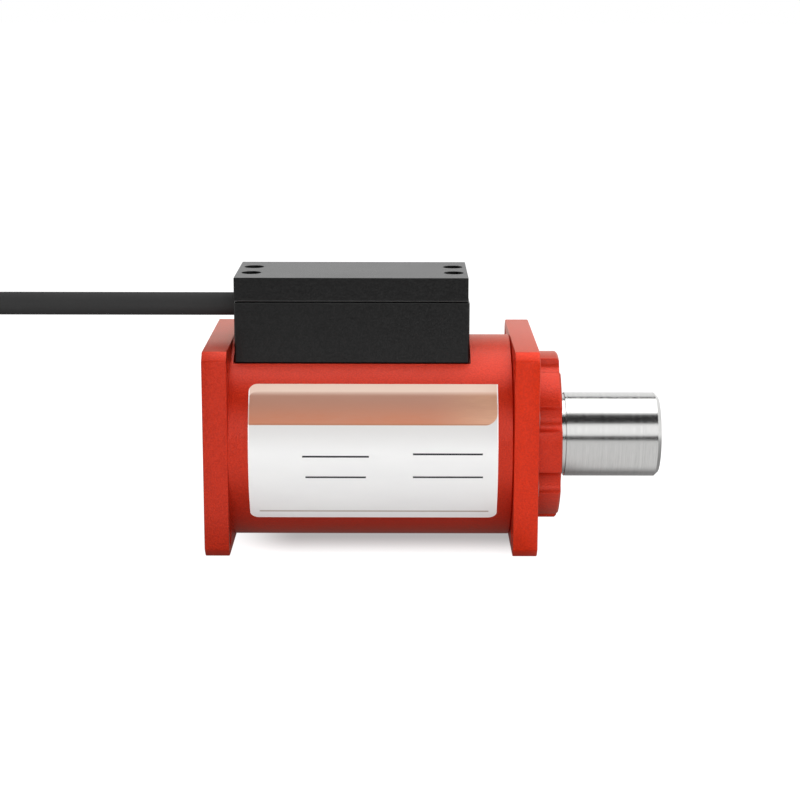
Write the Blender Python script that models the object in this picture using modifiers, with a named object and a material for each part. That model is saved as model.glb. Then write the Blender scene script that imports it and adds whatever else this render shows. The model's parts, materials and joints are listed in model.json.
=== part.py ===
"""Rotary torque sensor with an in-line square-flanged housing.

A steel torsion shaft runs through a turned housing on two ball bearings. Its input end is a keyed
bore inside the first flange, and its output end stands out of the scalloped boss on the second.
Strain gauges on the shaft's thin waist are wired to slip rings, and brushes carry their signal up
to the junction box, from which the cable leaves.

Lengths are in metres and +Z is up. A station is a distance along the shaft from the outer face of
the input flange, and a height is a distance above the shaft's axis. The object stands on its two
flanges, with the world's origin on the ground under the middle of its length.
"""
import math

import bmesh
import bpy
from mathutils import Matrix, Vector

# Housing: its wall is measured over the bearings, and its rim is what the flanges stand out
TUBE_WALL = 0.0053
BEARING_SHOULDER = 0.0015
FLANGE_RIM = 0.0002
FLANGE_THICKNESS = 0.0057
FLANGE_CORNER = 0.0020
FLANGE_HOLE = 0.0045
FLANGE_HOLE_INSET = 0.0042
BOX_TO_COVER = 0.0100
EDGE_BREAK = 0.0003

# End cover and its screws
BOSS_STEP = 0.0023
BOSS_LENGTH = 0.0057
BOSS_EDGE = 0.0005
SPIGOT_LENGTH = 0.0015
SPIGOT_WALL = 0.0035
COVER_WEB = 0.0020
WEB_CLEARANCE = 0.0015
COVER_SCREW_COUNT = 8
COVER_SCREW_OFFSET = 0.0003
COVER_SCREW_LENGTH = 0.0085
COUNTERBORE_GAP = 0.0005
SCREW_HEAD_PROUD = 0.0005

# Shaft
SHAFT_DIAMETER = 0.0200
SHAFT_REACH = 0.0241
SHAFT_CHAMFER = 0.0008
NECK_LENGTH = 0.0014
NECK_DEPTH = 0.0005
INPUT_RECESS = 0.0008
INPUT_BORE = 0.0160
HUB_WEB = 0.0020
KEY_WIDTH = 0.0050
KEY_DEPTH = 0.0023
HUB_LENGTH = 0.0225
WAIST_DIAMETER = 0.0128
WAIST_LENGTH = 0.0085
WAIST_TAPER = 0.0025
COLLAR_HEIGHT = 0.0018
COLLAR_WIDTH = 0.0015

# Bearings, retaining rings, spring and seal
BEARING_BORE = 0.0250
BEARING_SECTION = 0.0060
BEARING_WIDTH = 0.0070
BEARING_RING_WALL = 0.0018
BALL_DIAMETER = 0.0030
BALL_COUNT = 10
CAGE_WALL = 0.0008
CAGE_WIDTH = 0.0022
SHIELD_THICKNESS = 0.0004
RETAINING_RING = 0.0012
RETAINING_RING_DEPTH = 0.0009
RETAINING_RING_SETBACK = 0.0015
RETAINING_RING_BAND = 0.0024
WAVE_SPRING_HEIGHT = 0.0015
WAVE_SPRING_STRIP = 0.0004
WAVE_COUNT = 4
SEAL_SECTION = 0.0050
SEAL_WIDTH = 0.0050
SEAL_SETBACK = 0.0004
SEAL_LIP = 0.0012

# Slip rings and brushes
SLIP_RING_COUNT = 4
SLIP_RING_PITCH = 0.0030
SLIP_RING_WIDTH = 0.0018
SLIP_RING_WALL = 0.0015
SLEEVE_WALL = 0.0014
BRUSH_WIDTH = 0.0016
BRUSH_DEPTH = 0.0030
BRUSH_HEIGHT = 0.0072
HOLDER_WIDTH = 0.0114
HOLDER_TONGUE = 0.0052
HOLDER_LEDGE = 0.0015
HOLDER_PLATE = 0.0025
WINDOW_WIDTH = 0.0096

# Junction box
BOX_OFFSET = 0.0010
BOX_ROOM = 0.0011
BOX_WIDTH = 0.0265
BOX_SEAT_CUT = 0.0045
BOX_HEIGHT = 0.0143
BOX_END_WALL = 0.0070
BOX_SIDE_WALL = 0.0030
BOX_FLOOR = 0.0020
LID_THICKNESS = 0.0053
LID_SHORTFALL = 0.0003
LID_POCKET = 0.0025
LID_HOLE = 0.0046
LID_HOLE_DEPTH = 0.0032
LID_SCREW_INSET = 0.0035
LID_SCREW_SPREAD = 0.0096
LID_SCREW_LENGTH = 0.0090
BOX_SCREW_SIDE = 0.00225
BOX_SCREW_INSET = 0.0031
BOX_SCREW_LENGTH = 0.0045
BOARD_WIDTH = 0.0150
BOARD_THICKNESS = 0.0012
BOARD_CLEARANCE = 0.0034
BOARD_PIN = 0.0011
BOARD_PIN_INSET = 0.0022
BOARD_PIN_SIDES = (-0.0060, -0.0034, 0.0034, 0.0060)
BOARD_SCREW_INSET = 0.0025

# Cable
CABLE_DIAMETER = 0.0054
CABLE_DROP = 0.0025
CABLE_INSIDE = 0.0100
CABLE_STOP_DIAMETER = 0.0080
CABLE_STOP_LENGTH = 0.0035
CABLE_STEP = 0.0135
CORE_COUNT = 4
CORE_DIAMETER = 0.0015
CORE_OFFSET = 0.0008
CORE_LENGTH = 0.0250
CORE_SPREAD = 0.0034
CORE_LEAN = 2.2
END_SLEEVE_LENGTH = 0.0120
END_SLEEVE_WALL = 0.0005

# Plates and gauges: the margins are from the input flange and from the tube's end
LABEL_START_MARGIN = 0.0046
LABEL_END_MARGIN = 0.0033
LABEL_HALF_ANGLE = 41.1
LABEL_CORNER = 0.0020
LABEL_THICKNESS = 0.0001
GAUGE_LENGTH = 0.0060
GAUGE_HALF_ANGLE = 30.0

# Fasteners: diameter, head diameter, head height, key size
COVER_SCREW = (0.0030, 0.0055, 0.0030, 0.0025)
SMALL_SCREW = (0.0020, 0.0038, 0.0018, 0.0015)

# Clearances
FIT_GAP = 0.0003
SKIN_GAP = 0.00009

# How far a cutter runs past the faces it opens
PAST = 0.0057

# Facets of a full turn
LARGE_ROUND = 40
MIDDLE_ROUND = 24
SLEEVE_ROUND = 20
SCALLOP_ROUND = 16
SMALL_ROUND = 12
HOLE_ROUND = 8
SCREW_ROUND = 8
BALL_ROUND = 6
RACE_STEPS = 2
STRIP_ANGLE = 6.0

# Diameters and heights that follow from the sizes above, from the bearings outwards
BEARING_OUTER = BEARING_BORE + 2 * BEARING_SECTION
SEAT_RADIUS = BEARING_BORE / 2 - FIT_GAP
HOUSING_BORE = BEARING_OUTER / 2 + FIT_GAP
CAVITY_DIAMETER = BEARING_OUTER - 2 * BEARING_SHOULDER
TUBE_DIAMETER = BEARING_OUTER + 2 * TUBE_WALL
FLANGE_SIDE = TUBE_DIAMETER + 2 * FLANGE_RIM
COVER_SCREW_CIRCLE = BEARING_OUTER + TUBE_WALL - COVER_SCREW_OFFSET
BOSS_DIAMETER = COVER_SCREW_CIRCLE - BOSS_STEP
COUNTERBORE_DIAMETER = COVER_SCREW[1] + 2 * COUNTERBORE_GAP
SEAL_DIAMETER = SHAFT_DIAMETER + 2 * SEAL_SECTION
BOX_SEAT = TUBE_DIAMETER / 2 - BOX_SEAT_CUT
BOX_BASE = BOX_SEAT + FIT_GAP
BOX_FLOOR_TOP = BOX_BASE + BOX_FLOOR
BOX_TOP = BOX_BASE + BOX_HEIGHT
LID_BASE = BOX_TOP + FIT_GAP
LID_TOP = LID_BASE + LID_THICKNESS
CABLE_HEIGHT = BOX_TOP - CABLE_DROP
BOX_SCREW_REACH = BOX_WIDTH / 2 - BOX_SIDE_WALL - BOX_SCREW_SIDE

# Stations that follow, from the input flange to the shaft's end
INPUT_BEARING = RETAINING_RING_SETBACK + RETAINING_RING + FIT_GAP
HUB_END = INPUT_RECESS + HUB_LENGTH
WAIST_START = HUB_END + WAIST_TAPER
WAIST_END = WAIST_START + WAIST_LENGTH
SLEEVE_START = WAIST_END + WAIST_TAPER + COLLAR_WIDTH + FIT_GAP
RIB_WIDTH = SLIP_RING_PITCH - SLIP_RING_WIDTH - 2 * FIT_GAP
SLEEVE_END = SLEEVE_START + SLIP_RING_COUNT * SLIP_RING_PITCH + RIB_WIDTH
SLEEVE_RADIUS = BEARING_BORE / 2 + SLEEVE_WALL
SLIP_RING_RADIUS = SLEEVE_RADIUS + FIT_GAP + SLIP_RING_WALL
PITCH_RADIUS = (BEARING_OUTER + BEARING_BORE) / 4
HOLDER_START = SLEEVE_START - HOLDER_TONGUE
HOLDER_END = SLEEVE_END + HOLDER_LEDGE
WINDOW_START = SLEEVE_START - 2 * FIT_GAP
WINDOW_END = SLEEVE_END + 2 * FIT_GAP
BRUSH_BASE = SLIP_RING_RADIUS + FIT_GAP
BOX_START = FLANGE_THICKNESS + BOX_OFFSET
BOX_INSIDE = BOX_START + BOX_END_WALL
BOX_INSIDE_END = HOLDER_END + BOX_ROOM
BOX_END = BOX_INSIDE_END + BOX_END_WALL
BOARD_START = BOX_INSIDE + CABLE_STOP_LENGTH
BOARD_END = HOLDER_START - FIT_GAP
COVER_START = BOX_END + BOX_TO_COVER
BODY_LENGTH = COVER_START + FLANGE_THICKNESS
TUBE_END = COVER_START - FIT_GAP
BOSS_FACE = BODY_LENGTH + BOSS_LENGTH
SHAFT_END = BOSS_FACE + SHAFT_REACH
SPIGOT_FACE = COVER_START - SPIGOT_LENGTH
SPRING_START = SPIGOT_FACE - FIT_GAP - WAVE_SPRING_HEIGHT
OUTPUT_BEARING = SPRING_START - FIT_GAP - BEARING_WIDTH
COVER_HEAD_BASE = BODY_LENGTH + SCREW_HEAD_PROUD - COVER_SCREW[2]
SEAL_FACE = BOSS_FACE - SEAL_SETBACK
WEB_END = SEAL_FACE - SEAL_WIDTH - FIT_GAP
LABEL_START = FLANGE_THICKNESS + LABEL_START_MARGIN
LABEL_LENGTH = TUBE_END - LABEL_END_MARGIN - LABEL_START

MIDDLE = SHAFT_END / 2
AXIS_HEIGHT = FLANGE_SIDE / 2

# The cable's route outside the box, as stations, sideways places and heights above the ground. It
# leaves the box level and straight, then comes down on the folded hank that lies on the ground.
CABLE_ROUTE = [
    (-0.0200, 0.0000, 0.0554),
    (-0.0400, 0.0000, 0.0554),
    (-0.0540, 0.0000, 0.0554),
    (-0.0610, -0.0002, 0.0549),
    (-0.0677, -0.0010, 0.0533),
    (-0.0740, -0.0022, 0.0505),
    (-0.0796, -0.0040, 0.0467),
    (-0.0846, -0.0060, 0.0422),
    (-0.0892, -0.0082, 0.0375),
    (-0.0939, -0.0104, 0.0327),
    (-0.0989, -0.0124, 0.0283),
    (-0.1046, -0.0141, 0.0246),
    (-0.1109, -0.0153, 0.0219),
    (-0.1177, -0.0160, 0.0204),
]
HANK_START = -0.0840
HANK_LENGTH = 0.1136
HANK_WIDTH = 0.0486
HANK_OPENING = 0.0270
HANK_HEIGHT = 0.0225
HANK_TIE_WIDTH = 0.0080
HANK_TIE_THICKNESS = 0.0008
HANK_BASE = HANK_TIE_THICKNESS + FIT_GAP
HANK_TOP = HANK_BASE + HANK_HEIGHT

# The cable's other end, which lies in the hank's opening
TAIL_ROUTE = [
    (-0.1570, 0.0156, 0.0038),
    (-0.1515, 0.0134, 0.0040),
    (-0.1455, 0.0110, 0.0043),
    (-0.1390, 0.0094, 0.0043),
]


def place(station, side=0.0, height=0.0):
    """The world point at a station, a sideways place and a height above the shaft's axis."""
    return Vector((station - MIDDLE, side, height + AXIS_HEIGHT))


def clear_scene():
    """Removes whatever the scene holds."""
    for old in list(bpy.data.objects):
        bpy.data.objects.remove(old)


def new_collection(name):
    """A collection linked to the scene."""
    made = bpy.data.collections.new(name)
    bpy.context.scene.collection.children.link(made)
    return made


def finish(name, colour, metallic, roughness):
    """A plain Principled material."""
    made = bpy.data.materials.new(name)
    made.use_nodes = True
    shader = made.node_tree.nodes["Principled BSDF"]
    shader.inputs["Base Color"].default_value = (*colour, 1.0)
    shader.inputs["Metallic"].default_value = metallic
    shader.inputs["Roughness"].default_value = roughness
    return made


clear_scene()
PARTS = new_collection("rotary_torque_sensor")
CUTTERS = new_collection("cutters")


def add(name, mesh, look=None):
    """Links a mesh as a part with its look, or as a hidden cutter if it has none."""
    made = bpy.data.objects.new(name, mesh)
    if look is None:
        CUTTERS.objects.link(made)
        made.hide_render = True
        made.display_type = "WIRE"
    else:
        PARTS.objects.link(made)
        mesh.materials.append(look)
    return made


def mesh_of(name, shape):
    """Turns a finished bmesh into a mesh."""
    mesh = bpy.data.meshes.new(name)
    shape.to_mesh(mesh)
    shape.free()
    return mesh


def turned(name, outline, look=None, sides=LARGE_ROUND, closed=True):
    """A piece turned round the shaft's axis from (station, radius) points.

    The outline runs along the outer side from the output end to the input end. A closed one comes
    back along its inner side, and an open one starts and ends on the axis.
    """
    shape = bmesh.new()
    points = [shape.verts.new((radius, 0.0, station)) for station, radius in outline]
    for first, second in zip(points, points[1:]):
        shape.edges.new((first, second))
    if closed:
        shape.edges.new((points[-1], points[0]))
    made = add(name, mesh_of(name, shape), look)
    made.location = place(0.0)
    made.rotation_euler = (0.0, math.pi / 2, 0.0)
    turn = made.modifiers.new("turn", "SCREW")
    turn.steps = turn.render_steps = sides
    turn.use_merge_vertices = True
    turn.merge_threshold = 1e-6
    return made


def ring_outline(start, end, inner, outer, edge=0.0):
    """The section of a plain ring, with its outer edges broken if asked."""
    if edge == 0.0:
        return [(end, outer), (start, outer), (start, inner), (end, inner)]
    return [
        (end, outer - edge), (end - edge, outer), (start + edge, outer), (start, outer - edge),
        (start, inner), (end, inner),
    ]


def block(name, low, high, look=None, corner=0.0, edge=0.0):
    """A box between two (station, side, height) corners.

    Its edges along the shaft are cut off by corner, and all its other edges by edge.
    """
    low, high = place(*low), place(*high)
    size = high - low
    shape = bmesh.new()
    bmesh.ops.create_cube(shape, size=1.0)
    bmesh.ops.scale(shape, vec=size, verts=shape.verts)
    if corner:
        along = [e for e in shape.edges if abs(e.verts[0].co.x - e.verts[1].co.x) > size.x / 2]
        bmesh.ops.bevel(
            shape, geom=along, offset=corner, segments=1, profile=0.5, affect="EDGES", material=-1
        )
    if edge:
        rest = [e for e in shape.edges if e.calc_face_angle() > math.radians(60.0)]
        bmesh.ops.bevel(
            shape, geom=rest, offset=edge, segments=1, profile=0.5, affect="EDGES", material=-1
        )
    made = add(name, mesh_of(name, shape), look)
    made.location = (low + high) / 2
    return made


def rods(name, spots, radius, length, axis, sides=SMALL_ROUND):
    """A cutter of equal round rods: each starts at its spot and runs along the axis."""
    direction = Vector(axis)
    shape = bmesh.new()
    for spot in spots:
        centre = place(*spot) + direction * (length / 2)
        turn = direction.to_track_quat("Z", "Y").to_matrix().to_4x4()
        bmesh.ops.create_cone(
            shape, cap_ends=True, segments=sides, radius1=radius, radius2=radius, depth=length,
            matrix=Matrix.Translation(centre) @ turn,
        )
    return add(name, mesh_of(name, shape))


def combine(body, tools, operation):
    """Adds or takes away each tool by a Boolean."""
    for tool in tools:
        step = body.modifiers.new(tool.name, "BOOLEAN")
        step.operation = operation
        step.object = tool
        step.solver = "EXACT"
    return body


def smooth_round(body, angle=30.0):
    """Shades the curved faces smooth and keeps the real edges sharp."""
    body.data.shade_smooth()
    body.data.set_sharp_from_angle(angle=math.radians(angle))


def circle_spots(station, radius, count, first_angle):
    """Places on a circle round the shaft's axis."""
    turns = [first_angle + 2 * math.pi * k / count for k in range(count)]
    return [(station, radius * math.cos(turn), radius * math.sin(turn)) for turn in turns]


def corner_spots(station):
    """The places of a flange's four corner holes."""
    reach = FLANGE_SIDE / 2 - FLANGE_HOLE_INSET
    return [(station, reach * y, reach * z) for y in (-1, 1) for z in (-1, 1)]


def evaluated_mesh(body):
    """The body's mesh with its modifiers applied."""
    bpy.context.view_layer.update()
    seen = body.evaluated_get(bpy.context.evaluated_depsgraph_get())
    return bpy.data.meshes.new_from_object(seen)


def socket_screw_mesh(name, size, length, sides):
    """A cap screw along +Z with its head's seat at the origin and its shank below."""
    diameter, head_diameter, head_height, key = size
    shape = bmesh.new()
    bevel = EDGE_BREAK
    outline = [
        (head_height, 0.0), (head_height, head_diameter / 2 - bevel),
        (head_height - bevel, head_diameter / 2), (0.0, head_diameter / 2), (0.0, diameter / 2),
        (-length, diameter / 2), (-length, 0.0),
    ]
    points = [shape.verts.new((radius, 0.0, height)) for height, radius in outline]
    for first, second in zip(points, points[1:]):
        shape.edges.new((first, second))
    pattern = add(name + "_pattern", mesh_of(name, shape))
    turn = pattern.modifiers.new("turn", "SCREW")
    turn.steps = turn.render_steps = sides
    turn.use_merge_vertices = True
    turn.merge_threshold = 1e-6
    socket = bmesh.new()
    bmesh.ops.create_cone(
        socket, cap_ends=True, segments=6, radius1=key / math.sqrt(3), radius2=key / math.sqrt(3),
        depth=head_height, matrix=Matrix.Translation((0.0, 0.0, head_height)),
    )
    combine(pattern, [add(name + "_socket", mesh_of(name + "_socket", socket))], "DIFFERENCE")
    mesh = evaluated_mesh(pattern)
    bpy.data.objects.remove(pattern)
    return mesh


def fasten(name, mesh, spots, axis, look):
    """One screw at each spot, with its head along the axis."""
    mesh.materials.clear()
    mesh.materials.append(look)
    turn = Vector(axis).to_track_quat("Z", "Y").to_matrix().to_4x4()
    for number, spot in enumerate(spots, 1):
        made = bpy.data.objects.new(f"{name}_{number}", mesh)
        PARTS.objects.link(made)
        made.matrix_world = Matrix.Translation(place(*spot)) @ turn


def curved_plate(name, start, length, radius, half_angle, middle_angle, thickness, look, corner=0.0):
    """A thin plate bent round the shaft's axis, about an angle taken from -Y towards +Z."""
    strips = 2 * math.ceil(half_angle / STRIP_ANGLE)
    arc = 2 * math.radians(half_angle) * radius
    shape = bmesh.new()
    bmesh.ops.create_grid(shape, x_segments=1, y_segments=strips, size=0.5)
    bmesh.ops.scale(shape, vec=(length, arc, 1.0), verts=shape.verts)
    if corner:
        ends = [v for v in shape.verts if abs(abs(v.co.y) - arc / 2) < arc / strips / 4]
        bmesh.ops.bevel(
            shape, geom=ends, offset=corner, segments=2, profile=0.5, affect="VERTICES", material=-1
        )
    for point in shape.verts:
        turn = point.co.y / radius + math.radians(middle_angle)
        station = start + length / 2 + point.co.x
        side, height = -radius * math.cos(turn), radius * math.sin(turn)
        point.co = (station, side, height)
    bmesh.ops.recalc_face_normals(shape, faces=shape.faces)
    made = add(name, mesh_of(name, shape), look)
    made.location = place(0.0)
    wall = made.modifiers.new("wall", "SOLIDIFY")
    wall.thickness = thickness
    outward = made.data.polygons[0].normal.dot(made.data.polygons[0].center) > 0.0
    wall.offset = 1.0 if outward else -1.0
    return made


RED = finish("red_anodised", (0.56, 0.055, 0.02), 0.75, 0.38)
BLACK = finish("black_anodised", (0.016, 0.016, 0.017), 0.6, 0.45)
STEEL = finish("turned_steel", (0.62, 0.62, 0.61), 1.0, 0.25)
BEARING_STEEL = finish("bearing_steel", (0.70, 0.70, 0.71), 1.0, 0.18)
SPRING_STEEL = finish("spring_steel", (0.10, 0.10, 0.11), 0.9, 0.35)
SCREW_STEEL = finish("screw_steel", (0.45, 0.45, 0.46), 1.0, 0.3)
BLACK_SCREW = finish("black_screw", (0.02, 0.02, 0.02), 0.8, 0.4)
LABEL_FACE = finish("label_face", (0.80, 0.80, 0.79), 0.3, 0.3)
CABLE_JACKET = finish("cable_jacket", (0.02, 0.02, 0.02), 0.0, 0.45)
RUBBER = finish("seal_rubber", (0.012, 0.012, 0.012), 0.0, 0.6)
RING_METAL = finish("slip_ring_metal", (0.75, 0.72, 0.66), 1.0, 0.2)
INSULATION = finish("insulating_resin", (0.32, 0.20, 0.09), 0.0, 0.5)
GRAPHITE = finish("silver_graphite", (0.08, 0.08, 0.085), 0.5, 0.5)
BOARD_GREEN = finish("board_green", (0.02, 0.16, 0.06), 0.0, 0.4)
GAUGE_FOIL = finish("gauge_foil", (0.75, 0.42, 0.12), 0.3, 0.4)
TIE_STRAP = finish("tie_strap", (0.025, 0.025, 0.025), 0.0, 0.8)
CORE_INSULATION = finish("core_insulation", (0.45, 0.08, 0.06), 0.0, 0.4)


def main_housing():
    """The tube and the input flange, turned and milled from one bar."""
    half = FLANGE_SIDE / 2
    tube_radius = TUBE_DIAMETER / 2
    body = turned(
        "main_housing",
        [
            (TUBE_END, 0.0), (TUBE_END, tube_radius), (FLANGE_THICKNESS / 2, tube_radius),
            (FLANGE_THICKNESS / 2, 0.0),
        ],
        RED, closed=False,
    )
    flange = block(
        "input_flange", (0.0, -half, -half), (FLANGE_THICKNESS, half, half),
        corner=FLANGE_CORNER, edge=EDGE_BREAK,
    )
    groove_start = RETAINING_RING_SETBACK - FIT_GAP
    groove_end = RETAINING_RING_SETBACK + RETAINING_RING + FIT_GAP
    groove_radius = HOUSING_BORE + RETAINING_RING_DEPTH + FIT_GAP
    bore = turned(
        "housing_bore",
        [
            (TUBE_END + PAST, 0.0), (TUBE_END + PAST, HOUSING_BORE),
            (OUTPUT_BEARING - FIT_GAP, HOUSING_BORE),
            (OUTPUT_BEARING - FIT_GAP, CAVITY_DIAMETER / 2),
            (INPUT_BEARING + BEARING_WIDTH + FIT_GAP, CAVITY_DIAMETER / 2),
            (INPUT_BEARING + BEARING_WIDTH + FIT_GAP, HOUSING_BORE),
            (groove_end, HOUSING_BORE), (groove_end, groove_radius),
            (groove_start, groove_radius), (groove_start, HOUSING_BORE),
            (EDGE_BREAK, HOUSING_BORE), (-PAST, HOUSING_BORE + EDGE_BREAK + PAST), (-PAST, 0.0),
        ],
        closed=False,
    )
    seat = block(
        "box_seat", (BOX_START - FIT_GAP, -FLANGE_SIDE, BOX_SEAT),
        (BOX_END + FIT_GAP, FLANGE_SIDE, FLANGE_SIDE),
    )
    window = block(
        "brush_window", (WINDOW_START, -WINDOW_WIDTH / 2, 0.0),
        (WINDOW_END, WINDOW_WIDTH / 2, BOX_SEAT + FLANGE_THICKNESS),
    )
    corner_holes = rods(
        "input_flange_holes", corner_spots(-PAST), FLANGE_HOLE / 2, FLANGE_THICKNESS + 2 * PAST,
        (1, 0, 0),
    )
    depth = COVER_SCREW_LENGTH - (COVER_HEAD_BASE - TUBE_END) + 2 * FIT_GAP
    screw_holes = rods(
        "cover_screw_holes",
        circle_spots(TUBE_END - depth, COVER_SCREW_CIRCLE / 2, COVER_SCREW_COUNT,
                     math.pi / COVER_SCREW_COUNT),
        COVER_SCREW[0] / 2 + FIT_GAP, depth + PAST, (1, 0, 0),
    )
    box_holes = rods(
        "box_screw_holes", box_screw_spots(BOX_SEAT + FIT_GAP), SMALL_SCREW[0] / 2 + FIT_GAP,
        BOX_SCREW_LENGTH - BOX_FLOOR + 2 * FIT_GAP, (0, 0, -1), HOLE_ROUND,
    )
    combine(body, [flange], "UNION")
    combine(body, [bore, seat, window, corner_holes, screw_holes, box_holes], "DIFFERENCE")
    smooth_round(body)


def end_cover():
    """The output flange with its scalloped boss, a bolted cover that clamps the bearing."""
    half = FLANGE_SIDE / 2
    boss_radius = BOSS_DIAMETER / 2
    body = block(
        "end_cover", (COVER_START, -half, -half), (BODY_LENGTH, half, half), RED,
        corner=FLANGE_CORNER, edge=EDGE_BREAK,
    )
    inside_plate = BODY_LENGTH - FLANGE_THICKNESS / 2
    boss = turned(
        "cover_boss",
        [
            (BOSS_FACE, 0.0), (BOSS_FACE, boss_radius - BOSS_EDGE),
            (BOSS_FACE - BOSS_EDGE, boss_radius), (inside_plate, boss_radius), (inside_plate, 0.0),
        ],
        closed=False,
    )
    spigot = turned(
        "cover_spigot",
        [
            (inside_plate, 0.0), (inside_plate, BEARING_OUTER / 2), (SPIGOT_FACE, BEARING_OUTER / 2),
            (SPIGOT_FACE, 0.0),
        ],
        closed=False,
    )
    cavity = BEARING_OUTER / 2 - SPIGOT_WALL
    cavity_end = WEB_END - COVER_WEB
    seal_bore = SEAL_DIAMETER / 2 + FIT_GAP
    bore = turned(
        "cover_bore",
        [
            (BOSS_FACE + PAST, 0.0), (BOSS_FACE + PAST, seal_bore + EDGE_BREAK + PAST),
            (BOSS_FACE - EDGE_BREAK, seal_bore), (WEB_END, seal_bore),
            (WEB_END, SHAFT_DIAMETER / 2 + WEB_CLEARANCE),
            (cavity_end, SHAFT_DIAMETER / 2 + WEB_CLEARANCE), (cavity_end, cavity),
            (SPIGOT_FACE - PAST, cavity), (SPIGOT_FACE - PAST, 0.0),
        ],
        closed=False,
    )
    corner_holes = rods(
        "output_flange_holes", corner_spots(COVER_START - PAST), FLANGE_HOLE / 2,
        FLANGE_THICKNESS + 2 * PAST, (1, 0, 0),
    )
    seats = circle_spots(
        COVER_HEAD_BASE - FIT_GAP, COVER_SCREW_CIRCLE / 2, COVER_SCREW_COUNT,
        math.pi / COVER_SCREW_COUNT,
    )
    scallops = rods(
        "screw_scallops", seats, COUNTERBORE_DIAMETER / 2, BOSS_FACE + PAST - COVER_HEAD_BASE,
        (1, 0, 0), SCALLOP_ROUND,
    )
    screw_holes = rods(
        "cover_clearance_holes", [(BODY_LENGTH, y, z) for _, y, z in seats],
        COVER_SCREW[0] / 2 + FIT_GAP, FLANGE_THICKNESS + PAST, (-1, 0, 0),
    )
    combine(body, [boss, spigot], "UNION")
    combine(body, [bore, corner_holes, screw_holes, scallops], "DIFFERENCE")
    smooth_round(body)


def cover_screws():
    """The cap screws in the boss's scallops."""
    spots = circle_spots(
        COVER_HEAD_BASE, COVER_SCREW_CIRCLE / 2, COVER_SCREW_COUNT, math.pi / COVER_SCREW_COUNT
    )
    mesh = socket_screw_mesh("cover_screw", COVER_SCREW, COVER_SCREW_LENGTH, SMALL_ROUND)
    fasten("cover_screw", mesh, spots, (1, 0, 0), SCREW_STEEL)


def torque_shaft():
    """The torsion shaft: keyed input hub, thin gauge waist, bearing seats and output end."""
    hub = SEAT_RADIUS
    collar = hub + COLLAR_HEIGHT
    waist = WAIST_DIAMETER / 2
    output = SHAFT_DIAMETER / 2
    neck = output - NECK_DEPTH
    first_collar = INPUT_BEARING + BEARING_WIDTH + FIT_GAP
    second_collar = WAIST_END + WAIST_TAPER
    groove = OUTPUT_BEARING + BEARING_WIDTH + FIT_GAP
    groove_end = groove + RETAINING_RING + 2 * FIT_GAP
    seat_end = groove_end + RETAINING_RING
    bore_end = HUB_END - HUB_WEB
    body = turned(
        "torque_shaft",
        [
            (SHAFT_END, 0.0), (SHAFT_END, output - SHAFT_CHAMFER), (SHAFT_END - SHAFT_CHAMFER, output),
            (BOSS_FACE + NECK_LENGTH + NECK_DEPTH, output), (BOSS_FACE + NECK_LENGTH, neck),
            (SEAL_FACE, neck), (SEAL_FACE, output), (seat_end, output), (seat_end, hub),
            (groove_end, hub), (groove_end, hub - RETAINING_RING_DEPTH),
            (groove, hub - RETAINING_RING_DEPTH), (groove, hub),
            (second_collar + COLLAR_WIDTH, hub), (second_collar + COLLAR_WIDTH, collar),
            (second_collar, collar), (second_collar, hub), (WAIST_END, waist),
            (WAIST_START, waist), (HUB_END, hub), (first_collar + COLLAR_WIDTH, hub),
            (first_collar + COLLAR_WIDTH, collar), (first_collar, collar), (first_collar, hub),
            (INPUT_RECESS + EDGE_BREAK, hub), (INPUT_RECESS, hub - EDGE_BREAK),
            (INPUT_RECESS, INPUT_BORE / 2 + EDGE_BREAK), (INPUT_RECESS + EDGE_BREAK, INPUT_BORE / 2),
            (bore_end, INPUT_BORE / 2), (bore_end, 0.0),
        ],
        STEEL, MIDDLE_ROUND, closed=False,
    )
    keyway = block(
        "input_keyway", (-FLANGE_THICKNESS, -KEY_WIDTH / 2, 0.0),
        (bore_end - 2 * EDGE_BREAK, KEY_WIDTH / 2, INPUT_BORE / 2 + KEY_DEPTH),
    )
    combine(body, [keyway], "DIFFERENCE")
    smooth_round(body)


def race(station, towards):
    """The ball groove of a ring: towards is 1 in the outer ring and -1 in the inner one."""
    shoulder = PITCH_RADIUS + towards * (BEARING_OUTER - BEARING_BORE - 4 * BEARING_RING_WALL) / 4
    groove = BALL_DIAMETER / 2 + FIT_GAP
    reach = math.asin(min(0.95, abs(shoulder - PITCH_RADIUS) / groove))
    points = []
    for step in range(RACE_STEPS + 1):
        turn = reach + (math.pi - 2 * reach) * step / RACE_STEPS
        points.append(
            (station - groove * math.cos(turn), PITCH_RADIUS + towards * groove * math.sin(turn))
        )
    return shoulder, points


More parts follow.
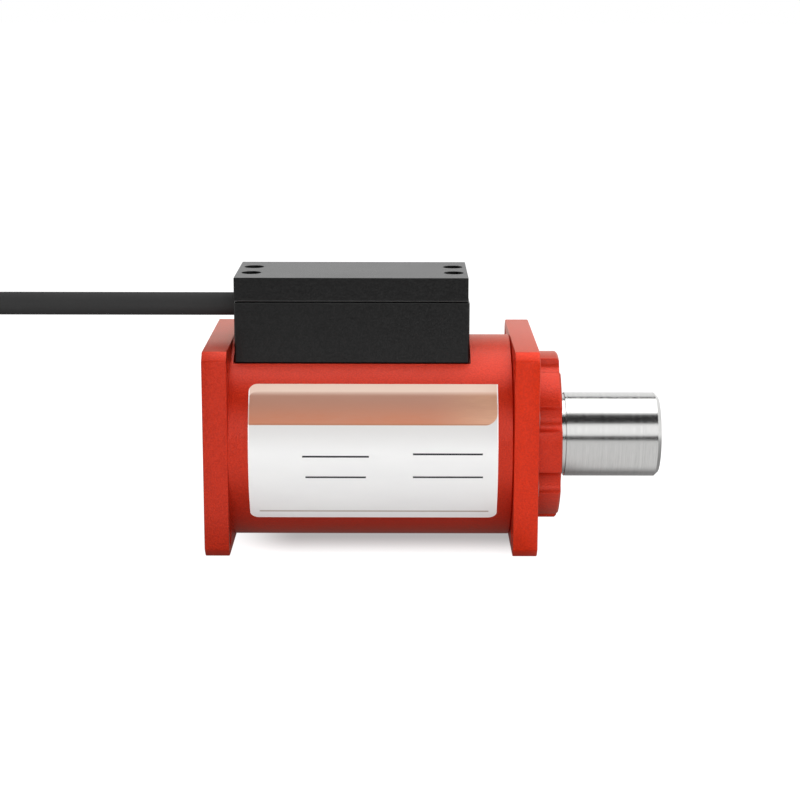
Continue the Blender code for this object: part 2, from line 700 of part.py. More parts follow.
def ball_bearing(name, start, shield):
    """A deep-groove ball bearing: two rings, a caged set of balls and perhaps a shield."""
    end = start + BEARING_WIDTH
    middle = start + BEARING_WIDTH / 2
    shoulder, groove = race(middle, 1)
    outer = BEARING_OUTER / 2
    smooth_round(turned(
        name + "_outer_ring",
        [
            (end, outer - EDGE_BREAK), (end - EDGE_BREAK, outer), (start + EDGE_BREAK, outer),
            (start, outer - EDGE_BREAK), (start, shoulder), *groove, (end, shoulder),
        ],
        BEARING_STEEL, MIDDLE_ROUND,
    ))
    inner_shoulder, groove = race(middle, -1)
    inner = BEARING_BORE / 2
    smooth_round(turned(
        name + "_inner_ring",
        [
            (end, inner_shoulder), *reversed(groove), (start, inner_shoulder),
            (start, inner + EDGE_BREAK), (start + EDGE_BREAK, inner), (end - EDGE_BREAK, inner),
            (end, inner + EDGE_BREAK),
        ],
        BEARING_STEEL, MIDDLE_ROUND,
    ))
    cage = turned(
        name + "_balls",
        ring_outline(middle - CAGE_WIDTH / 2, middle + CAGE_WIDTH / 2,
                     PITCH_RADIUS - CAGE_WALL / 2, PITCH_RADIUS + CAGE_WALL / 2),
        BEARING_STEEL, SLEEVE_ROUND,
    )
    balls = bmesh.new()
    for _, side, height in circle_spots(0.0, PITCH_RADIUS, BALL_COUNT, math.pi / BALL_COUNT):
        bmesh.ops.create_uvsphere(
            balls, u_segments=BALL_ROUND, v_segments=BALL_ROUND - 2, radius=BALL_DIAMETER / 2,
            matrix=Matrix.Translation(place(middle, side, height)),
        )
    combine(cage, [add(name + "_ball_set", mesh_of(name + "_ball_set", balls))], "UNION")
    smooth_round(cage, 50.0)
    if shield:
        smooth_round(turned(
            name + "_shield",
            ring_outline(start + EDGE_BREAK, start + EDGE_BREAK + SHIELD_THICKNESS,
                         inner_shoulder + FIT_GAP, shoulder - FIT_GAP),
            BEARING_STEEL, MIDDLE_ROUND,
        ))


def retaining_rings():
    """The split ring that holds the input bearing in, and the one on the shaft's output side."""
    start = RETAINING_RING_SETBACK
    outer = HOUSING_BORE + RETAINING_RING_DEPTH
    inside = turned(
        "housing_retaining_ring",
        ring_outline(start, start + RETAINING_RING, outer - RETAINING_RING_BAND, outer),
        SPRING_STEEL, MIDDLE_ROUND,
    )
    lug = RETAINING_RING_BAND / 2
    lug_reach = outer - RETAINING_RING_BAND
    spots = [(start, side * 2 * lug, -lug_reach) for side in (-1, 1)]
    lugs = rods("ring_lugs", spots, lug, RETAINING_RING, (1, 0, 0))
    slit = block(
        "ring_slit", (0.0, -lug, -2 * outer), (INPUT_BEARING, lug, 0.0)
    )
    holes = rods("ring_lug_holes", [(0.0, y, z) for _, y, z in spots], lug / 2, 2 * INPUT_BEARING,
                 (1, 0, 0))
    combine(inside, [lugs], "UNION")
    combine(inside, [slit, holes], "DIFFERENCE")
    smooth_round(inside)

    start = OUTPUT_BEARING + BEARING_WIDTH + 2 * FIT_GAP
    inner = SEAT_RADIUS - RETAINING_RING_DEPTH + FIT_GAP
    outside = turned(
        "shaft_retaining_ring",
        ring_outline(start, start + RETAINING_RING, inner, inner + RETAINING_RING_BAND),
        SPRING_STEEL, MIDDLE_ROUND,
    )
    gap = block(
        "shaft_ring_slit", (OUTPUT_BEARING, -RETAINING_RING_BAND, 0.0),
        (SPIGOT_FACE, RETAINING_RING_BAND, BEARING_OUTER),
    )
    combine(outside, [gap], "DIFFERENCE")
    smooth_round(outside)


def wave_spring():
    """The wavy washer that loads the output bearing against the cover."""
    outer = BEARING_OUTER / 2 - FIT_GAP
    inner = outer - RETAINING_RING_BAND
    shape = bmesh.new()
    low, high = -WAVE_SPRING_STRIP / 2, WAVE_SPRING_STRIP / 2
    corners = [(outer, high), (outer, low), (inner, low), (inner, high)]
    points = [shape.verts.new((radius, 0.0, station)) for radius, station in corners]
    edges = [shape.edges.new((points[k - 1], points[k])) for k in range(4)]
    bmesh.ops.spin(
        shape, geom=points + edges, cent=(0.0, 0.0, 0.0), axis=(0.0, 0.0, 1.0),
        angle=2 * math.pi, steps=2 * MIDDLE_ROUND, use_merge=True,
    )
    swing = (WAVE_SPRING_HEIGHT - WAVE_SPRING_STRIP) / 2
    for point in shape.verts:
        point.co.z += swing * math.sin(WAVE_COUNT * math.atan2(point.co.y, point.co.x))
    bmesh.ops.recalc_face_normals(shape, faces=shape.faces)
    made = add("wave_spring", mesh_of("wave_spring", shape), SPRING_STEEL)
    made.rotation_euler = (0.0, math.pi / 2, 0.0)
    made.location = place(SPRING_START + WAVE_SPRING_HEIGHT / 2)
    smooth_round(made)


def shaft_seal():
    """The lip seal round the output shaft in the boss."""
    start = SEAL_FACE - SEAL_WIDTH
    outer = SEAL_DIAMETER / 2
    lip = SHAFT_DIAMETER / 2 + FIT_GAP
    smooth_round(turned(
        "shaft_seal",
        [
            (SEAL_FACE, outer - EDGE_BREAK), (SEAL_FACE - EDGE_BREAK, outer), (start, outer),
            (start, outer - SEAL_LIP), (SEAL_FACE - 2 * SEAL_LIP, outer - SEAL_LIP),
            (SEAL_FACE - 2 * SEAL_LIP, lip + 2 * SEAL_LIP), (start + SEAL_LIP, lip + SEAL_LIP),
            (start + SEAL_LIP, lip + EDGE_BREAK), (start + 2 * SEAL_LIP, lip),
            (SEAL_FACE, lip + SEAL_LIP),
        ],
        RUBBER, MIDDLE_ROUND,
    ))


def slip_rings():
    """The ribbed insulating sleeve, its contact rings and the spacer that holds them."""
    inner = BEARING_BORE / 2
    low, high = SLEEVE_RADIUS, SLEEVE_RADIUS + SLIP_RING_WALL / 2
    outline = [(SLEEVE_END, high), (SLEEVE_END - RIB_WIDTH, high)]
    for number in reversed(range(SLIP_RING_COUNT)):
        rib = SLEEVE_START + number * SLIP_RING_PITCH
        outline += [(rib + SLIP_RING_PITCH, low), (rib + RIB_WIDTH, low), (rib + RIB_WIDTH, high)]
        if number:
            outline.append((rib, high))
    outline += [(SLEEVE_START, high), (SLEEVE_START, inner), (SLEEVE_END, inner)]
    smooth_round(turned("slip_ring_sleeve", outline, INSULATION, SLEEVE_ROUND))
    for number in range(SLIP_RING_COUNT):
        start = SLEEVE_START + number * SLIP_RING_PITCH + RIB_WIDTH + FIT_GAP
        smooth_round(turned(
            f"slip_ring_{number + 1}",
            ring_outline(start, start + SLIP_RING_WIDTH, SLEEVE_RADIUS + FIT_GAP, SLIP_RING_RADIUS),
            RING_METAL, MIDDLE_ROUND,
        ))
    smooth_round(turned(
        "shaft_spacer",
        ring_outline(SLEEVE_END + FIT_GAP, OUTPUT_BEARING - FIT_GAP, inner, SLEEVE_RADIUS),
        STEEL, SLEEVE_ROUND,
    ))


def brush_station(number):
    """The middle of a slip ring along the shaft."""
    start = SLEEVE_START + number * SLIP_RING_PITCH + RIB_WIDTH + FIT_GAP
    return start + SLIP_RING_WIDTH / 2


def holder_screw_spots(height):
    """The places of the two screws through the brush holder's tongue."""
    station = HOLDER_START + HOLDER_TONGUE / 2
    return [(station, side * HOLDER_WIDTH / 4, height) for side in (-1, 1)]


def brush_gear():
    """The holder that hangs in the housing's window, with a brush over each ring."""
    base = BOX_FLOOR_TOP + FIT_GAP
    top = base + HOLDER_PLATE
    holder = block(
        "brush_holder", (HOLDER_START, -HOLDER_WIDTH / 2, base),
        (HOLDER_END, HOLDER_WIDTH / 2, top), INSULATION,
    )
    body = block(
        "holder_body",
        (WINDOW_START + FIT_GAP, -WINDOW_WIDTH / 2 + FIT_GAP, BRUSH_BASE + 2 * FIT_GAP),
        (WINDOW_END - FIT_GAP, WINDOW_WIDTH / 2 - FIT_GAP, base + HOLDER_PLATE / 2),
    )
    slots = []
    half = BRUSH_WIDTH / 2
    for number in range(SLIP_RING_COUNT):
        middle = brush_station(number)
        slots.append(block(
            f"brush_slot_{number + 1}",
            (middle - half - FIT_GAP, -BRUSH_DEPTH / 2 - FIT_GAP, 0.0),
            (middle + half + FIT_GAP, BRUSH_DEPTH / 2 + FIT_GAP, 2 * top),
        ))
        block(
            f"brush_{number + 1}", (middle - half, -BRUSH_DEPTH / 2, BRUSH_BASE),
            (middle + half, BRUSH_DEPTH / 2, BRUSH_BASE + BRUSH_HEIGHT), GRAPHITE,
        )
    holes = rods(
        "holder_screw_holes", holder_screw_spots(top + HOLDER_PLATE), SMALL_SCREW[0] / 2 + FIT_GAP,
        3 * HOLDER_PLATE, (0, 0, -1), HOLE_ROUND,
    )
    head_room = rods(
        "holder_head_room", box_screw_spots(BOX_FLOOR_TOP), SMALL_SCREW[1] / 2 + FIT_GAP,
        2 * HOLDER_PLATE, (0, 0, 1),
    )
    combine(holder, [body], "UNION")
    combine(holder, [*slots, holes, head_room], "DIFFERENCE")
    length = HOLDER_PLATE + BOX_FLOOR
    screw = socket_screw_mesh("brush_screw", SMALL_SCREW, length, SCREW_ROUND)
    fasten("brush_screw", screw, holder_screw_spots(top + FIT_GAP), (0, 0, 1), SCREW_STEEL)


def box_screw_spots(height):
    """The places of the four screws that hold the box on its seat."""
    stations = (BOX_INSIDE + BOX_SCREW_INSET, BOX_INSIDE_END - BOX_SCREW_INSET)
    return [(x, side * BOX_SCREW_REACH, height) for x in stations for side in (-1, 1)]


def lid_screw_spots(height):
    """The places of the four screws through the lid's end walls."""
    stations = (BOX_START + LID_SCREW_INSET, BOX_END - LID_SCREW_INSET)
    return [(x, side * LID_SCREW_SPREAD / 2, height) for x in stations for side in (-1, 1)]


def board_screw_spots(height):
    """The places of the two screws that hold the terminal board."""
    return [
        (station, 0.0, height)
        for station in (BOARD_START + BOARD_SCREW_INSET, BOARD_END - BOARD_SCREW_INSET)
    ]


def junction_box():
    """The milled box on the housing's flat, with the cable's slot and the board's pillars."""
    half = BOX_WIDTH / 2
    body = block(
        "junction_box", (BOX_START, -half, BOX_BASE), (BOX_END, half, BOX_TOP), BLACK,
        edge=EDGE_BREAK,
    )
    inside = half - BOX_SIDE_WALL
    cavity = block(
        "box_cavity", (BOX_INSIDE, -inside, BOX_FLOOR_TOP), (BOX_INSIDE_END, inside, 2 * BOX_TOP)
    )
    window = block(
        "box_window", (WINDOW_START, -WINDOW_WIDTH / 2, 0.0), (WINDOW_END, WINDOW_WIDTH / 2, BOX_TOP)
    )
    slot_radius = CABLE_DIAMETER / 2 + FIT_GAP
    cable_round = rods(
        "cable_hole", [(0.0, 0.0, CABLE_HEIGHT)], slot_radius, BOX_INSIDE + FIT_GAP, (1, 0, 0),
        2 * SMALL_ROUND,
    )
    cable_slot = block(
        "cable_slot", (0.0, -slot_radius, CABLE_HEIGHT),
        (BOX_INSIDE + FIT_GAP, slot_radius, 2 * BOX_TOP),
    )
    hole = SMALL_SCREW[0] / 2 + FIT_GAP
    lid_holes = rods(
        "lid_thread_holes", lid_screw_spots(LID_BASE), hole,
        LID_SCREW_LENGTH - (LID_THICKNESS - LID_HOLE_DEPTH) + 2 * FIT_GAP, (0, 0, -1), HOLE_ROUND,
    )
    floor_holes = rods(
        "box_floor_holes", box_screw_spots(BOX_FLOOR_TOP + BOX_FLOOR), hole, 3 * BOX_FLOOR,
        (0, 0, -1), HOLE_ROUND,
    )
    brush_holes = rods(
        "box_brush_holes", holder_screw_spots(BOX_FLOOR_TOP + BOX_FLOOR), hole,
        3 * BOX_FLOOR, (0, 0, -1), HOLE_ROUND,
    )
    pillars = rods(
        "board_pillars", board_screw_spots(BOX_FLOOR_TOP - BOX_FLOOR / 2), SMALL_SCREW[1] / 2,
        BOARD_CLEARANCE + BOX_FLOOR / 2, (0, 0, 1),
    )
    pillar_holes = rods(
        "board_thread_holes", board_screw_spots(BOX_FLOOR_TOP + 2 * BOARD_CLEARANCE), hole,
        2 * BOARD_CLEARANCE, (0, 0, -1), HOLE_ROUND,
    )
    combine(body, [cavity], "DIFFERENCE")
    combine(body, [pillars], "UNION")
    combine(
        body,
        [window, cable_round, cable_slot, lid_holes, floor_holes, brush_holes, pillar_holes],
        "DIFFERENCE",
    )
    screw = socket_screw_mesh("box_screw", SMALL_SCREW, BOX_SCREW_LENGTH, SCREW_ROUND)
    fasten("box_screw", screw, box_screw_spots(BOX_FLOOR_TOP + FIT_GAP), (0, 0, 1), SCREW_STEEL)


def box_lid():
    """The thick lid with its four sunk screws and a pocket milled under it."""
    half = BOX_WIDTH / 2
    lid = block(
        "box_lid", (BOX_START, -half, LID_BASE), (BOX_END - LID_SHORTFALL, half, LID_TOP), BLACK,
        edge=EDGE_BREAK,
    )
    inside = half - BOX_SIDE_WALL
    pocket = block(
        "lid_pocket", (BOX_INSIDE, -inside, 0.0), (BOX_INSIDE_END, inside, LID_BASE + LID_POCKET)
    )
    seat = LID_TOP - LID_HOLE_DEPTH
    sinks = rods("lid_sinks", lid_screw_spots(seat), LID_HOLE / 2, LID_THICKNESS, (0, 0, 1),
                 SCALLOP_ROUND)
    holes = rods("lid_holes", lid_screw_spots(0.0), SMALL_SCREW[0] / 2 + FIT_GAP, LID_TOP,
                 (0, 0, 1), HOLE_ROUND)
    combine(lid, [pocket, sinks, holes], "DIFFERENCE")
    screw = socket_screw_mesh("lid_screw", SMALL_SCREW, LID_SCREW_LENGTH, SCREW_ROUND)
    fasten("lid_screw", screw, lid_screw_spots(seat + FIT_GAP), (0, 0, 1), BLACK_SCREW)


def terminal_board():
    """The board on which the cable's cores meet the brushes' leads."""
    base = BOX_FLOOR_TOP + BOARD_CLEARANCE + FIT_GAP
    top = base + BOARD_THICKNESS
    half = BOARD_WIDTH / 2
    board = block(
        "terminal_board", (BOARD_START, -half, base), (BOARD_END, half, top), BOARD_GREEN
    )
    spots = [
        (station, side, base + BOARD_THICKNESS / 2)
        for station in (BOARD_START + BOARD_PIN_INSET, BOARD_END - BOARD_PIN_INSET)
        for side in BOARD_PIN_SIDES
    ]
    pins = rods("board_pins", spots, BOARD_PIN / 2, BOARD_THICKNESS / 2 + BOARD_PIN, (0, 0, 1),
                HOLE_ROUND)
    holes = rods("board_holes", board_screw_spots(0.0), SMALL_SCREW[0] / 2 + FIT_GAP, 2 * top,
                 (0, 0, 1), HOLE_ROUND)
    combine(board, [pins], "UNION")
    combine(board, [holes], "DIFFERENCE")
    screw = socket_screw_mesh("board_screw", SMALL_SCREW, BOARD_CLEARANCE, SCREW_ROUND)
    fasten("board_screw", screw, board_screw_spots(top + FIT_GAP), (0, 0, 1), SCREW_STEEL)


def smooth_line(points, step):
    """Points read at about equal steps from a smooth curve through the given ones."""
    padded = [2 * points[0] - points[1], *points, 2 * points[-1] - points[-2]]
    line = []
    for before, first, second, after in zip(padded, padded[1:], padded[2:], padded[3:]):
        count = max(1, round((second - first).length / step))
        for number in range(count):
            t = number / count
            line.append(
                first
                + (second - before) * (t / 2)
                + (2 * before - 5 * first + 4 * second - after) * (t * t / 2)
                + (3 * first - 3 * second + after - before) * (t ** 3 / 2)
            )
    return [*line, points[-1]]


def round_cord(name, line, diameter, look=None, rounds=2):
    """A round cord along a line of world points, as a mesh with its end caps welded on."""
    curve = bpy.data.curves.new(name + "_line", "CURVE")
    curve.dimensions = "3D"
    curve.bevel_depth = diameter / 2
    curve.bevel_resolution = rounds
    curve.use_fill_caps = True
    spline = curve.splines.new("POLY")
    spline.points.add(len(line) - 1)
    for point, spot in zip(spline.points, line):
        point.co = (*spot, 1.0)
    tube = bpy.data.objects.new(name + "_line", curve)
    CUTTERS.objects.link(tube)
    shape = bmesh.new()
    shape.from_mesh(evaluated_mesh(tube))
    bpy.data.objects.remove(tube)
    bmesh.ops.remove_doubles(shape, verts=shape.verts, dist=1e-6)
    return add(name, mesh_of(name, shape), look)


def ground_points(route):
    """The world points of a route given as stations, sideways places and heights above ground."""
    return [Vector((station - MIDDLE, side, height)) for station, side, height in route]


def cable():
    """The cable from inside the box to its hank, with the collar that holds it in the box."""
    inside = BOX_INSIDE + CABLE_INSIDE - BOX_END_WALL / 2
    start = [place(inside, 0.0, CABLE_HEIGHT), place(BOX_START, 0.0, CABLE_HEIGHT)]
    line = smooth_line(start + ground_points(CABLE_ROUTE), CABLE_STEP)
    made = round_cord("cable", line, CABLE_DIAMETER, CABLE_JACKET)
    landing = block(
        "cable_landing", (HANK_START - HANK_LENGTH, -HANK_WIDTH, -AXIS_HEIGHT),
        (HANK_START, HANK_WIDTH, HANK_TOP - AXIS_HEIGHT),
    )
    combine(made, [landing], "DIFFERENCE")
    smooth_round(made)

    start = BOX_INSIDE + FIT_GAP
    bore = CABLE_DIAMETER / 2 + FIT_GAP
    stop = turned(
        "cable_stop",
        ring_outline(start, start + CABLE_STOP_LENGTH - 2 * FIT_GAP, bore, CABLE_STOP_DIAMETER / 2),
        RUBBER, SMALL_ROUND,
    )
    stop.location = place(0.0, 0.0, CABLE_HEIGHT)


def stadium(curve, middle, length, width, turns):
    """Adds a closed outline with two straight sides and round ends to a flat curve."""
    radius = width / 2
    reach = length / 2 - radius
    spline = curve.splines.new("POLY")
    spline.points.add(2 * turns + 1)
    for number in range(2 * turns + 2):
        far = number > turns
        angle = math.pi * (number - far) / turns - math.pi / 2
        centre = middle - reach if far else middle + reach
        spot = (centre + radius * math.cos(angle), radius * math.sin(angle), 0.0, 1.0)
        spline.points[number].co = spot
    spline.use_cyclic_u = True


def cable_hank():
    """The rest of the cable folded into a hank on the ground, and the strap round its waist."""
    middle = HANK_START - HANK_LENGTH / 2 - MIDDLE
    curve = bpy.data.curves.new("cable_hank", "CURVE")
    curve.dimensions = "2D"
    curve.fill_mode = "BOTH"
    curve.extrude = HANK_HEIGHT / 2
    stadium(curve, middle, HANK_LENGTH, HANK_WIDTH, SMALL_ROUND)
    stadium(curve, middle, HANK_LENGTH - HANK_WIDTH + HANK_OPENING, HANK_OPENING, SMALL_ROUND)
    curve.materials.append(CABLE_JACKET)
    hank = bpy.data.objects.new("cable_hank", curve)
    hank.location = (0.0, 0.0, (HANK_BASE + HANK_TOP) / 2)
    PARTS.objects.link(hank)

    half = HANK_TIE_WIDTH / 2
    reach = HANK_WIDTH / 2 + FIT_GAP
    top = HANK_TOP + FIT_GAP
    station = middle + MIDDLE
    strap = block(
        "hank_tie",
        (station - half, -reach - HANK_TIE_THICKNESS, -AXIS_HEIGHT),
        (station + half, reach + HANK_TIE_THICKNESS, top + HANK_TIE_THICKNESS - AXIS_HEIGHT),
        TIE_STRAP,
    )
    hollow = block(
        "hank_tie_hollow",
        (station - 2 * half, -reach, HANK_TIE_THICKNESS - AXIS_HEIGHT),
        (station + 2 * half, reach, top - AXIS_HEIGHT),
    )
    combine(strap, [hollow], "DIFFERENCE")


def cable_end():
    """The bared end of the cable in the hank's opening: jacket, shrunk sleeve and fanned cores."""
    line = ground_points(TAIL_ROUTE)
    tail = round_cord("cable_tail", line, CABLE_DIAMETER, CABLE_JACKET)
    wall = HANK_OPENING / 2 - FIT_GAP
    strand = block(
        "inner_strand", (HANK_START - HANK_LENGTH, wall, -AXIS_HEIGHT), (HANK_START, HANK_WIDTH, 0.0)
    )
    combine(tail, [strand], "DIFFERENCE")
    smooth_round(tail)

    ahead = (line[-1] - line[-2]).normalized()
    start = line[-1] + ahead * FIT_GAP
    end = start + ahead * END_SLEEVE_LENGTH
    sleeve_diameter = CABLE_DIAMETER + 2 * END_SLEEVE_WALL
    smooth_round(round_cord("end_sleeve", [start, end], sleeve_diameter, RUBBER))

    root = end + ahead * FIT_GAP
    low = CORE_DIAMETER / 2
    plug = round_cord(
        "cable_cores", [root, root + ahead * CORE_DIAMETER], CABLE_DIAMETER - CORE_DIAMETER,
        CORE_INSULATION,
    )
    cores = []
    for number in range(CORE_COUNT):
        turn = math.pi / 4 - 2 * math.pi * (number + 2) / CORE_COUNT
        corner = Vector((0.0, math.cos(turn), math.sin(turn))) * (CORE_OFFSET * math.sqrt(2))
        first = root + ahead * low + corner
        second = first + ahead * (CABLE_DIAMETER - low)
        side = (number - CORE_LEAN) * CORE_SPREAD
        last = Vector((root.x + CORE_LENGTH, root.y + side, low))
        middle = second.lerp(last, 0.5)
        middle.z = low
        cores.append(round_cord(f"core_{number + 1}", [first, second, middle, last], CORE_DIAMETER))
    combine(plug, cores, "UNION")
    smooth_round(plug)


def plates_and_gauges():
    """The bare label plate on the housing's front, and the gauges on the shaft's waist."""
    curved_plate(
        "label_plate", LABEL_START, LABEL_LENGTH, TUBE_DIAMETER / 2 + SKIN_GAP, LABEL_HALF_ANGLE,
        0.0, LABEL_THICKNESS, LABEL_FACE, LABEL_CORNER,
    )
    for number, angle in enumerate((90.0, -90.0), 1):
        curved_plate(
            f"strain_gauge_{number}", (WAIST_START + WAIST_END - GAUGE_LENGTH) / 2, GAUGE_LENGTH,
            WAIST_DIAMETER / 2 + SKIN_GAP, GAUGE_HALF_ANGLE, angle, LABEL_THICKNESS, GAUGE_FOIL,
        )


main_housing()
end_cover()
cover_screws()
torque_shaft()
ball_bearing("input_bearing", INPUT_BEARING, True)
ball_bearing("output_bearing", OUTPUT_BEARING, False)
retaining_rings()
wave_spring()
shaft_seal()
slip_rings()
brush_gear()
junction_box()
box_lid()
terminal_board()
cable()
cable_hank()
cable_end()
plates_and_gauges()
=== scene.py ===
"""The looks of a rotary torque sensor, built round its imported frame.

Lengths are in metres and +Z is up. A station is a distance along the shaft from the outer face of
the input flange, and a height is a distance above the shaft's axis.
"""
import json
import math

import bmesh
import bpy
from mathutils import Matrix, Vector


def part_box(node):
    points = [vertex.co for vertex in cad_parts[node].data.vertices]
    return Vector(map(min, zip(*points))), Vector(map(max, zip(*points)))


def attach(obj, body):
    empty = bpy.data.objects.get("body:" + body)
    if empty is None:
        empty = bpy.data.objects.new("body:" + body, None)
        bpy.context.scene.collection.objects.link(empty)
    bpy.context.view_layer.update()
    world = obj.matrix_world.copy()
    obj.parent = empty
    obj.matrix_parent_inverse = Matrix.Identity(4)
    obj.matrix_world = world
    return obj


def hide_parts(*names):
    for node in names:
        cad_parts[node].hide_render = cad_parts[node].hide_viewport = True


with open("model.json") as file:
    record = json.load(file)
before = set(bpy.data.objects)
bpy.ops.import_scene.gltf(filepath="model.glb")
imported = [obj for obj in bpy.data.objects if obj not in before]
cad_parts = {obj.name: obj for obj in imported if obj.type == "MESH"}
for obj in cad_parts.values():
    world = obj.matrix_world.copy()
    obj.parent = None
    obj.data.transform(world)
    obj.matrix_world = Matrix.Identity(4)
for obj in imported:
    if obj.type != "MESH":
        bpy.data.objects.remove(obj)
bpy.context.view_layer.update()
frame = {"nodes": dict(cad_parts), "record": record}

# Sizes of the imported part
FLANGE_SIDE = 0.0480
FLANGE_THICKNESS = 0.0057
FLANGE_CORNER = 0.0020
FLANGE_HOLE = 0.0045
FLANGE_HOLE_INSET = 0.0042
BODY_LENGTH = 0.0765
TUBE_DIAMETER = 0.0476
CAVITY_DIAMETER = 0.0340
EDGE_BREAK = 0.0003
BOSS_DIAMETER = 0.0397
BOSS_LENGTH = 0.0057
BOSS_EDGE = 0.0005
SPIGOT_LENGTH = 0.0015
COVER_CAVITY_DEPTH = 0.0052
COVER_WEB = 0.0020
WEB_CLEARANCE = 0.0015
COVER_SCREW_COUNT = 8
COVER_SCREW_CIRCLE = 0.0420
COVER_SCREW_LENGTH = 0.0085
COUNTERBORE_DIAMETER = 0.0065
SCREW_HEAD_PROUD = 0.0005
SHAFT_DIAMETER = 0.0200
SHAFT_REACH = 0.0241
SHAFT_CHAMFER = 0.0008
NECK_LENGTH = 0.0014
NECK_DEPTH = 0.0005
NECK_EDGE = 0.00008
INPUT_RECESS = 0.0008
INPUT_BORE = 0.0160
INPUT_BORE_DEPTH = 0.0205
KEY_WIDTH = 0.0050
KEY_DEPTH = 0.0023
HUB_LENGTH = 0.0225
WAIST_DIAMETER = 0.0128
WAIST_LENGTH = 0.0085
WAIST_TAPER = 0.0025
COLLAR_HEIGHT = 0.0018
COLLAR_WIDTH = 0.0015
BEARING_OUTER = 0.0370
BEARING_BORE = 0.0250
BEARING_WIDTH = 0.0070
RING_SHOULDER = 0.0018
SHIELD_THICKNESS = 0.0004
RETAINING_RING = 0.0012
RETAINING_RING_DEPTH = 0.0009
RETAINING_RING_SETBACK = 0.0015
RETAINING_RING_BAND = 0.0024
WAVE_SPRING_HEIGHT = 0.0015
SEAL_DIAMETER = 0.0300
SEAL_WIDTH = 0.0050
SEAL_WALL = 0.0012
BOX_START = 0.0067
BOX_LENGTH = 0.0541
BOX_WIDTH = 0.0265
BOX_SEAT = 0.0193
BOX_TOP = 0.0339
BOX_END_WALL = 0.0070
BOX_SIDE_WALL = 0.0030
BOX_FLOOR = 0.0020
LID_THICKNESS = 0.0053
LID_SEAM = 0.00012
LID_SHORTFALL = 0.0003
LID_POCKET = 0.0025
LID_HOLE = 0.0046
LID_HOLE_DEPTH = 0.0032
LID_SCREW_INSET = 0.0035
LID_SCREW_SPREAD = 0.0096
LID_SCREW_LENGTH = 0.0090
CABLE_DIAMETER = 0.0054
CABLE_HEIGHT = 0.0314
LABEL_START = 0.0103
LABEL_LENGTH = 0.0569
LABEL_HALF_ANGLE = 41.1
LABEL_CORNER = 0.0020
LABEL_THICKNESS = 0.0001
COVER_SCREW = (0.0030, 0.0055, 0.0030, 0.0025)
SMALL_SCREW = (0.0020, 0.0038, 0.0018, 0.0015)
FIT_GAP = 0.0003
HAIR_GAP = 0.00003
SKIN_GAP = 0.00009

# Places that follow from them
COVER_START = BODY_LENGTH - FLANGE_THICKNESS
TUBE_END = COVER_START - HAIR_GAP
BOSS_FACE = BODY_LENGTH + BOSS_LENGTH
SHAFT_END = BOSS_FACE + SHAFT_REACH
SPIGOT_FACE = COVER_START - SPIGOT_LENGTH
INPUT_BEARING = RETAINING_RING_SETBACK + RETAINING_RING + FIT_GAP
OUTPUT_BEARING = SPIGOT_FACE - 2 * FIT_GAP - WAVE_SPRING_HEIGHT - BEARING_WIDTH
SEAT_RADIUS = BEARING_BORE / 2 - FIT_GAP
HOUSING_BORE = BEARING_OUTER / 2 + FIT_GAP
SEAL_FACE = SPIGOT_FACE + COVER_CAVITY_DEPTH + COVER_WEB + FIT_GAP + SEAL_WIDTH
COVER_HEAD_BASE = BODY_LENGTH + SCREW_HEAD_PROUD - COVER_SCREW[2]
BOX_BASE = BOX_SEAT + FIT_GAP
BOX_END = BOX_START + BOX_LENGTH
BOX_HALF = BOX_WIDTH / 2
BOX_INNER_HALF = BOX_HALF - BOX_SIDE_WALL
BOX_INSIDE = BOX_START + BOX_END_WALL
BOX_INSIDE_END = BOX_END - BOX_END_WALL
LID_BASE = BOX_TOP + FIT_GAP
LID_TOP = LID_BASE + LID_THICKNESS
LID_FOOT = BOX_TOP + LID_SEAM
LABEL_RADIUS = TUBE_DIAMETER / 2 + SKIN_GAP
LABEL_HALF_ARC = math.radians(LABEL_HALF_ANGLE) * LABEL_RADIUS
MIDDLE = SHAFT_END / 2
AXIS_HEIGHT = FLANGE_SIDE / 2

# Finer finish than the solids have, each screw's turn, and how far a cutter reaches past them
BIG_ROUND = 160
SMALL_ROUND = 48
LABEL_STRIPS = 72
SMOOTH_ANGLE = 20.0
FINE_EDGE = 0.00012
SAME_POINT = 1e-7
WELD = 2e-6
SCREW_TWIST = 0.7
PAST = 0.0057

# The label's print: across from the plate's left edge, and up along its arc from the shaft's level
HEADER_TOP = 0.0152
HEADER_BOTTOM = 0.00725
HEADER_END = LABEL_LENGTH - 0.0001
HEADER_CORNER = 0.0030
HEADER_FADE = (0.0139, 0.0157)
HEADER_LINE = 0.00035
# GLINT_FADE places the header's painted highlight, which is not print.
GLINT_FADE = (0.0400, 0.0570)
RIM_FADE = (0.0130, 0.0140)
EDGING_WIDTH = 0.00028
EDGING_SOFT = 0.00008
DULL_EDGING = (HEADER_BOTTOM, 0.0122, 0.0004)
RULES = (
    (0.0123, 0.0275, 0.0001), (0.0375, 0.0534, 0.0007),
    (0.0130, 0.0268, -0.00485), (0.0375, 0.0535, -0.0048),
)
RULE_HALF = 0.00021
FOOT_LINE_ENDS = (0.0022, 0.0550)
FOOT_LINE_EDGES = (-0.01490, -0.01455)
PRINT_SOFT = 0.0001

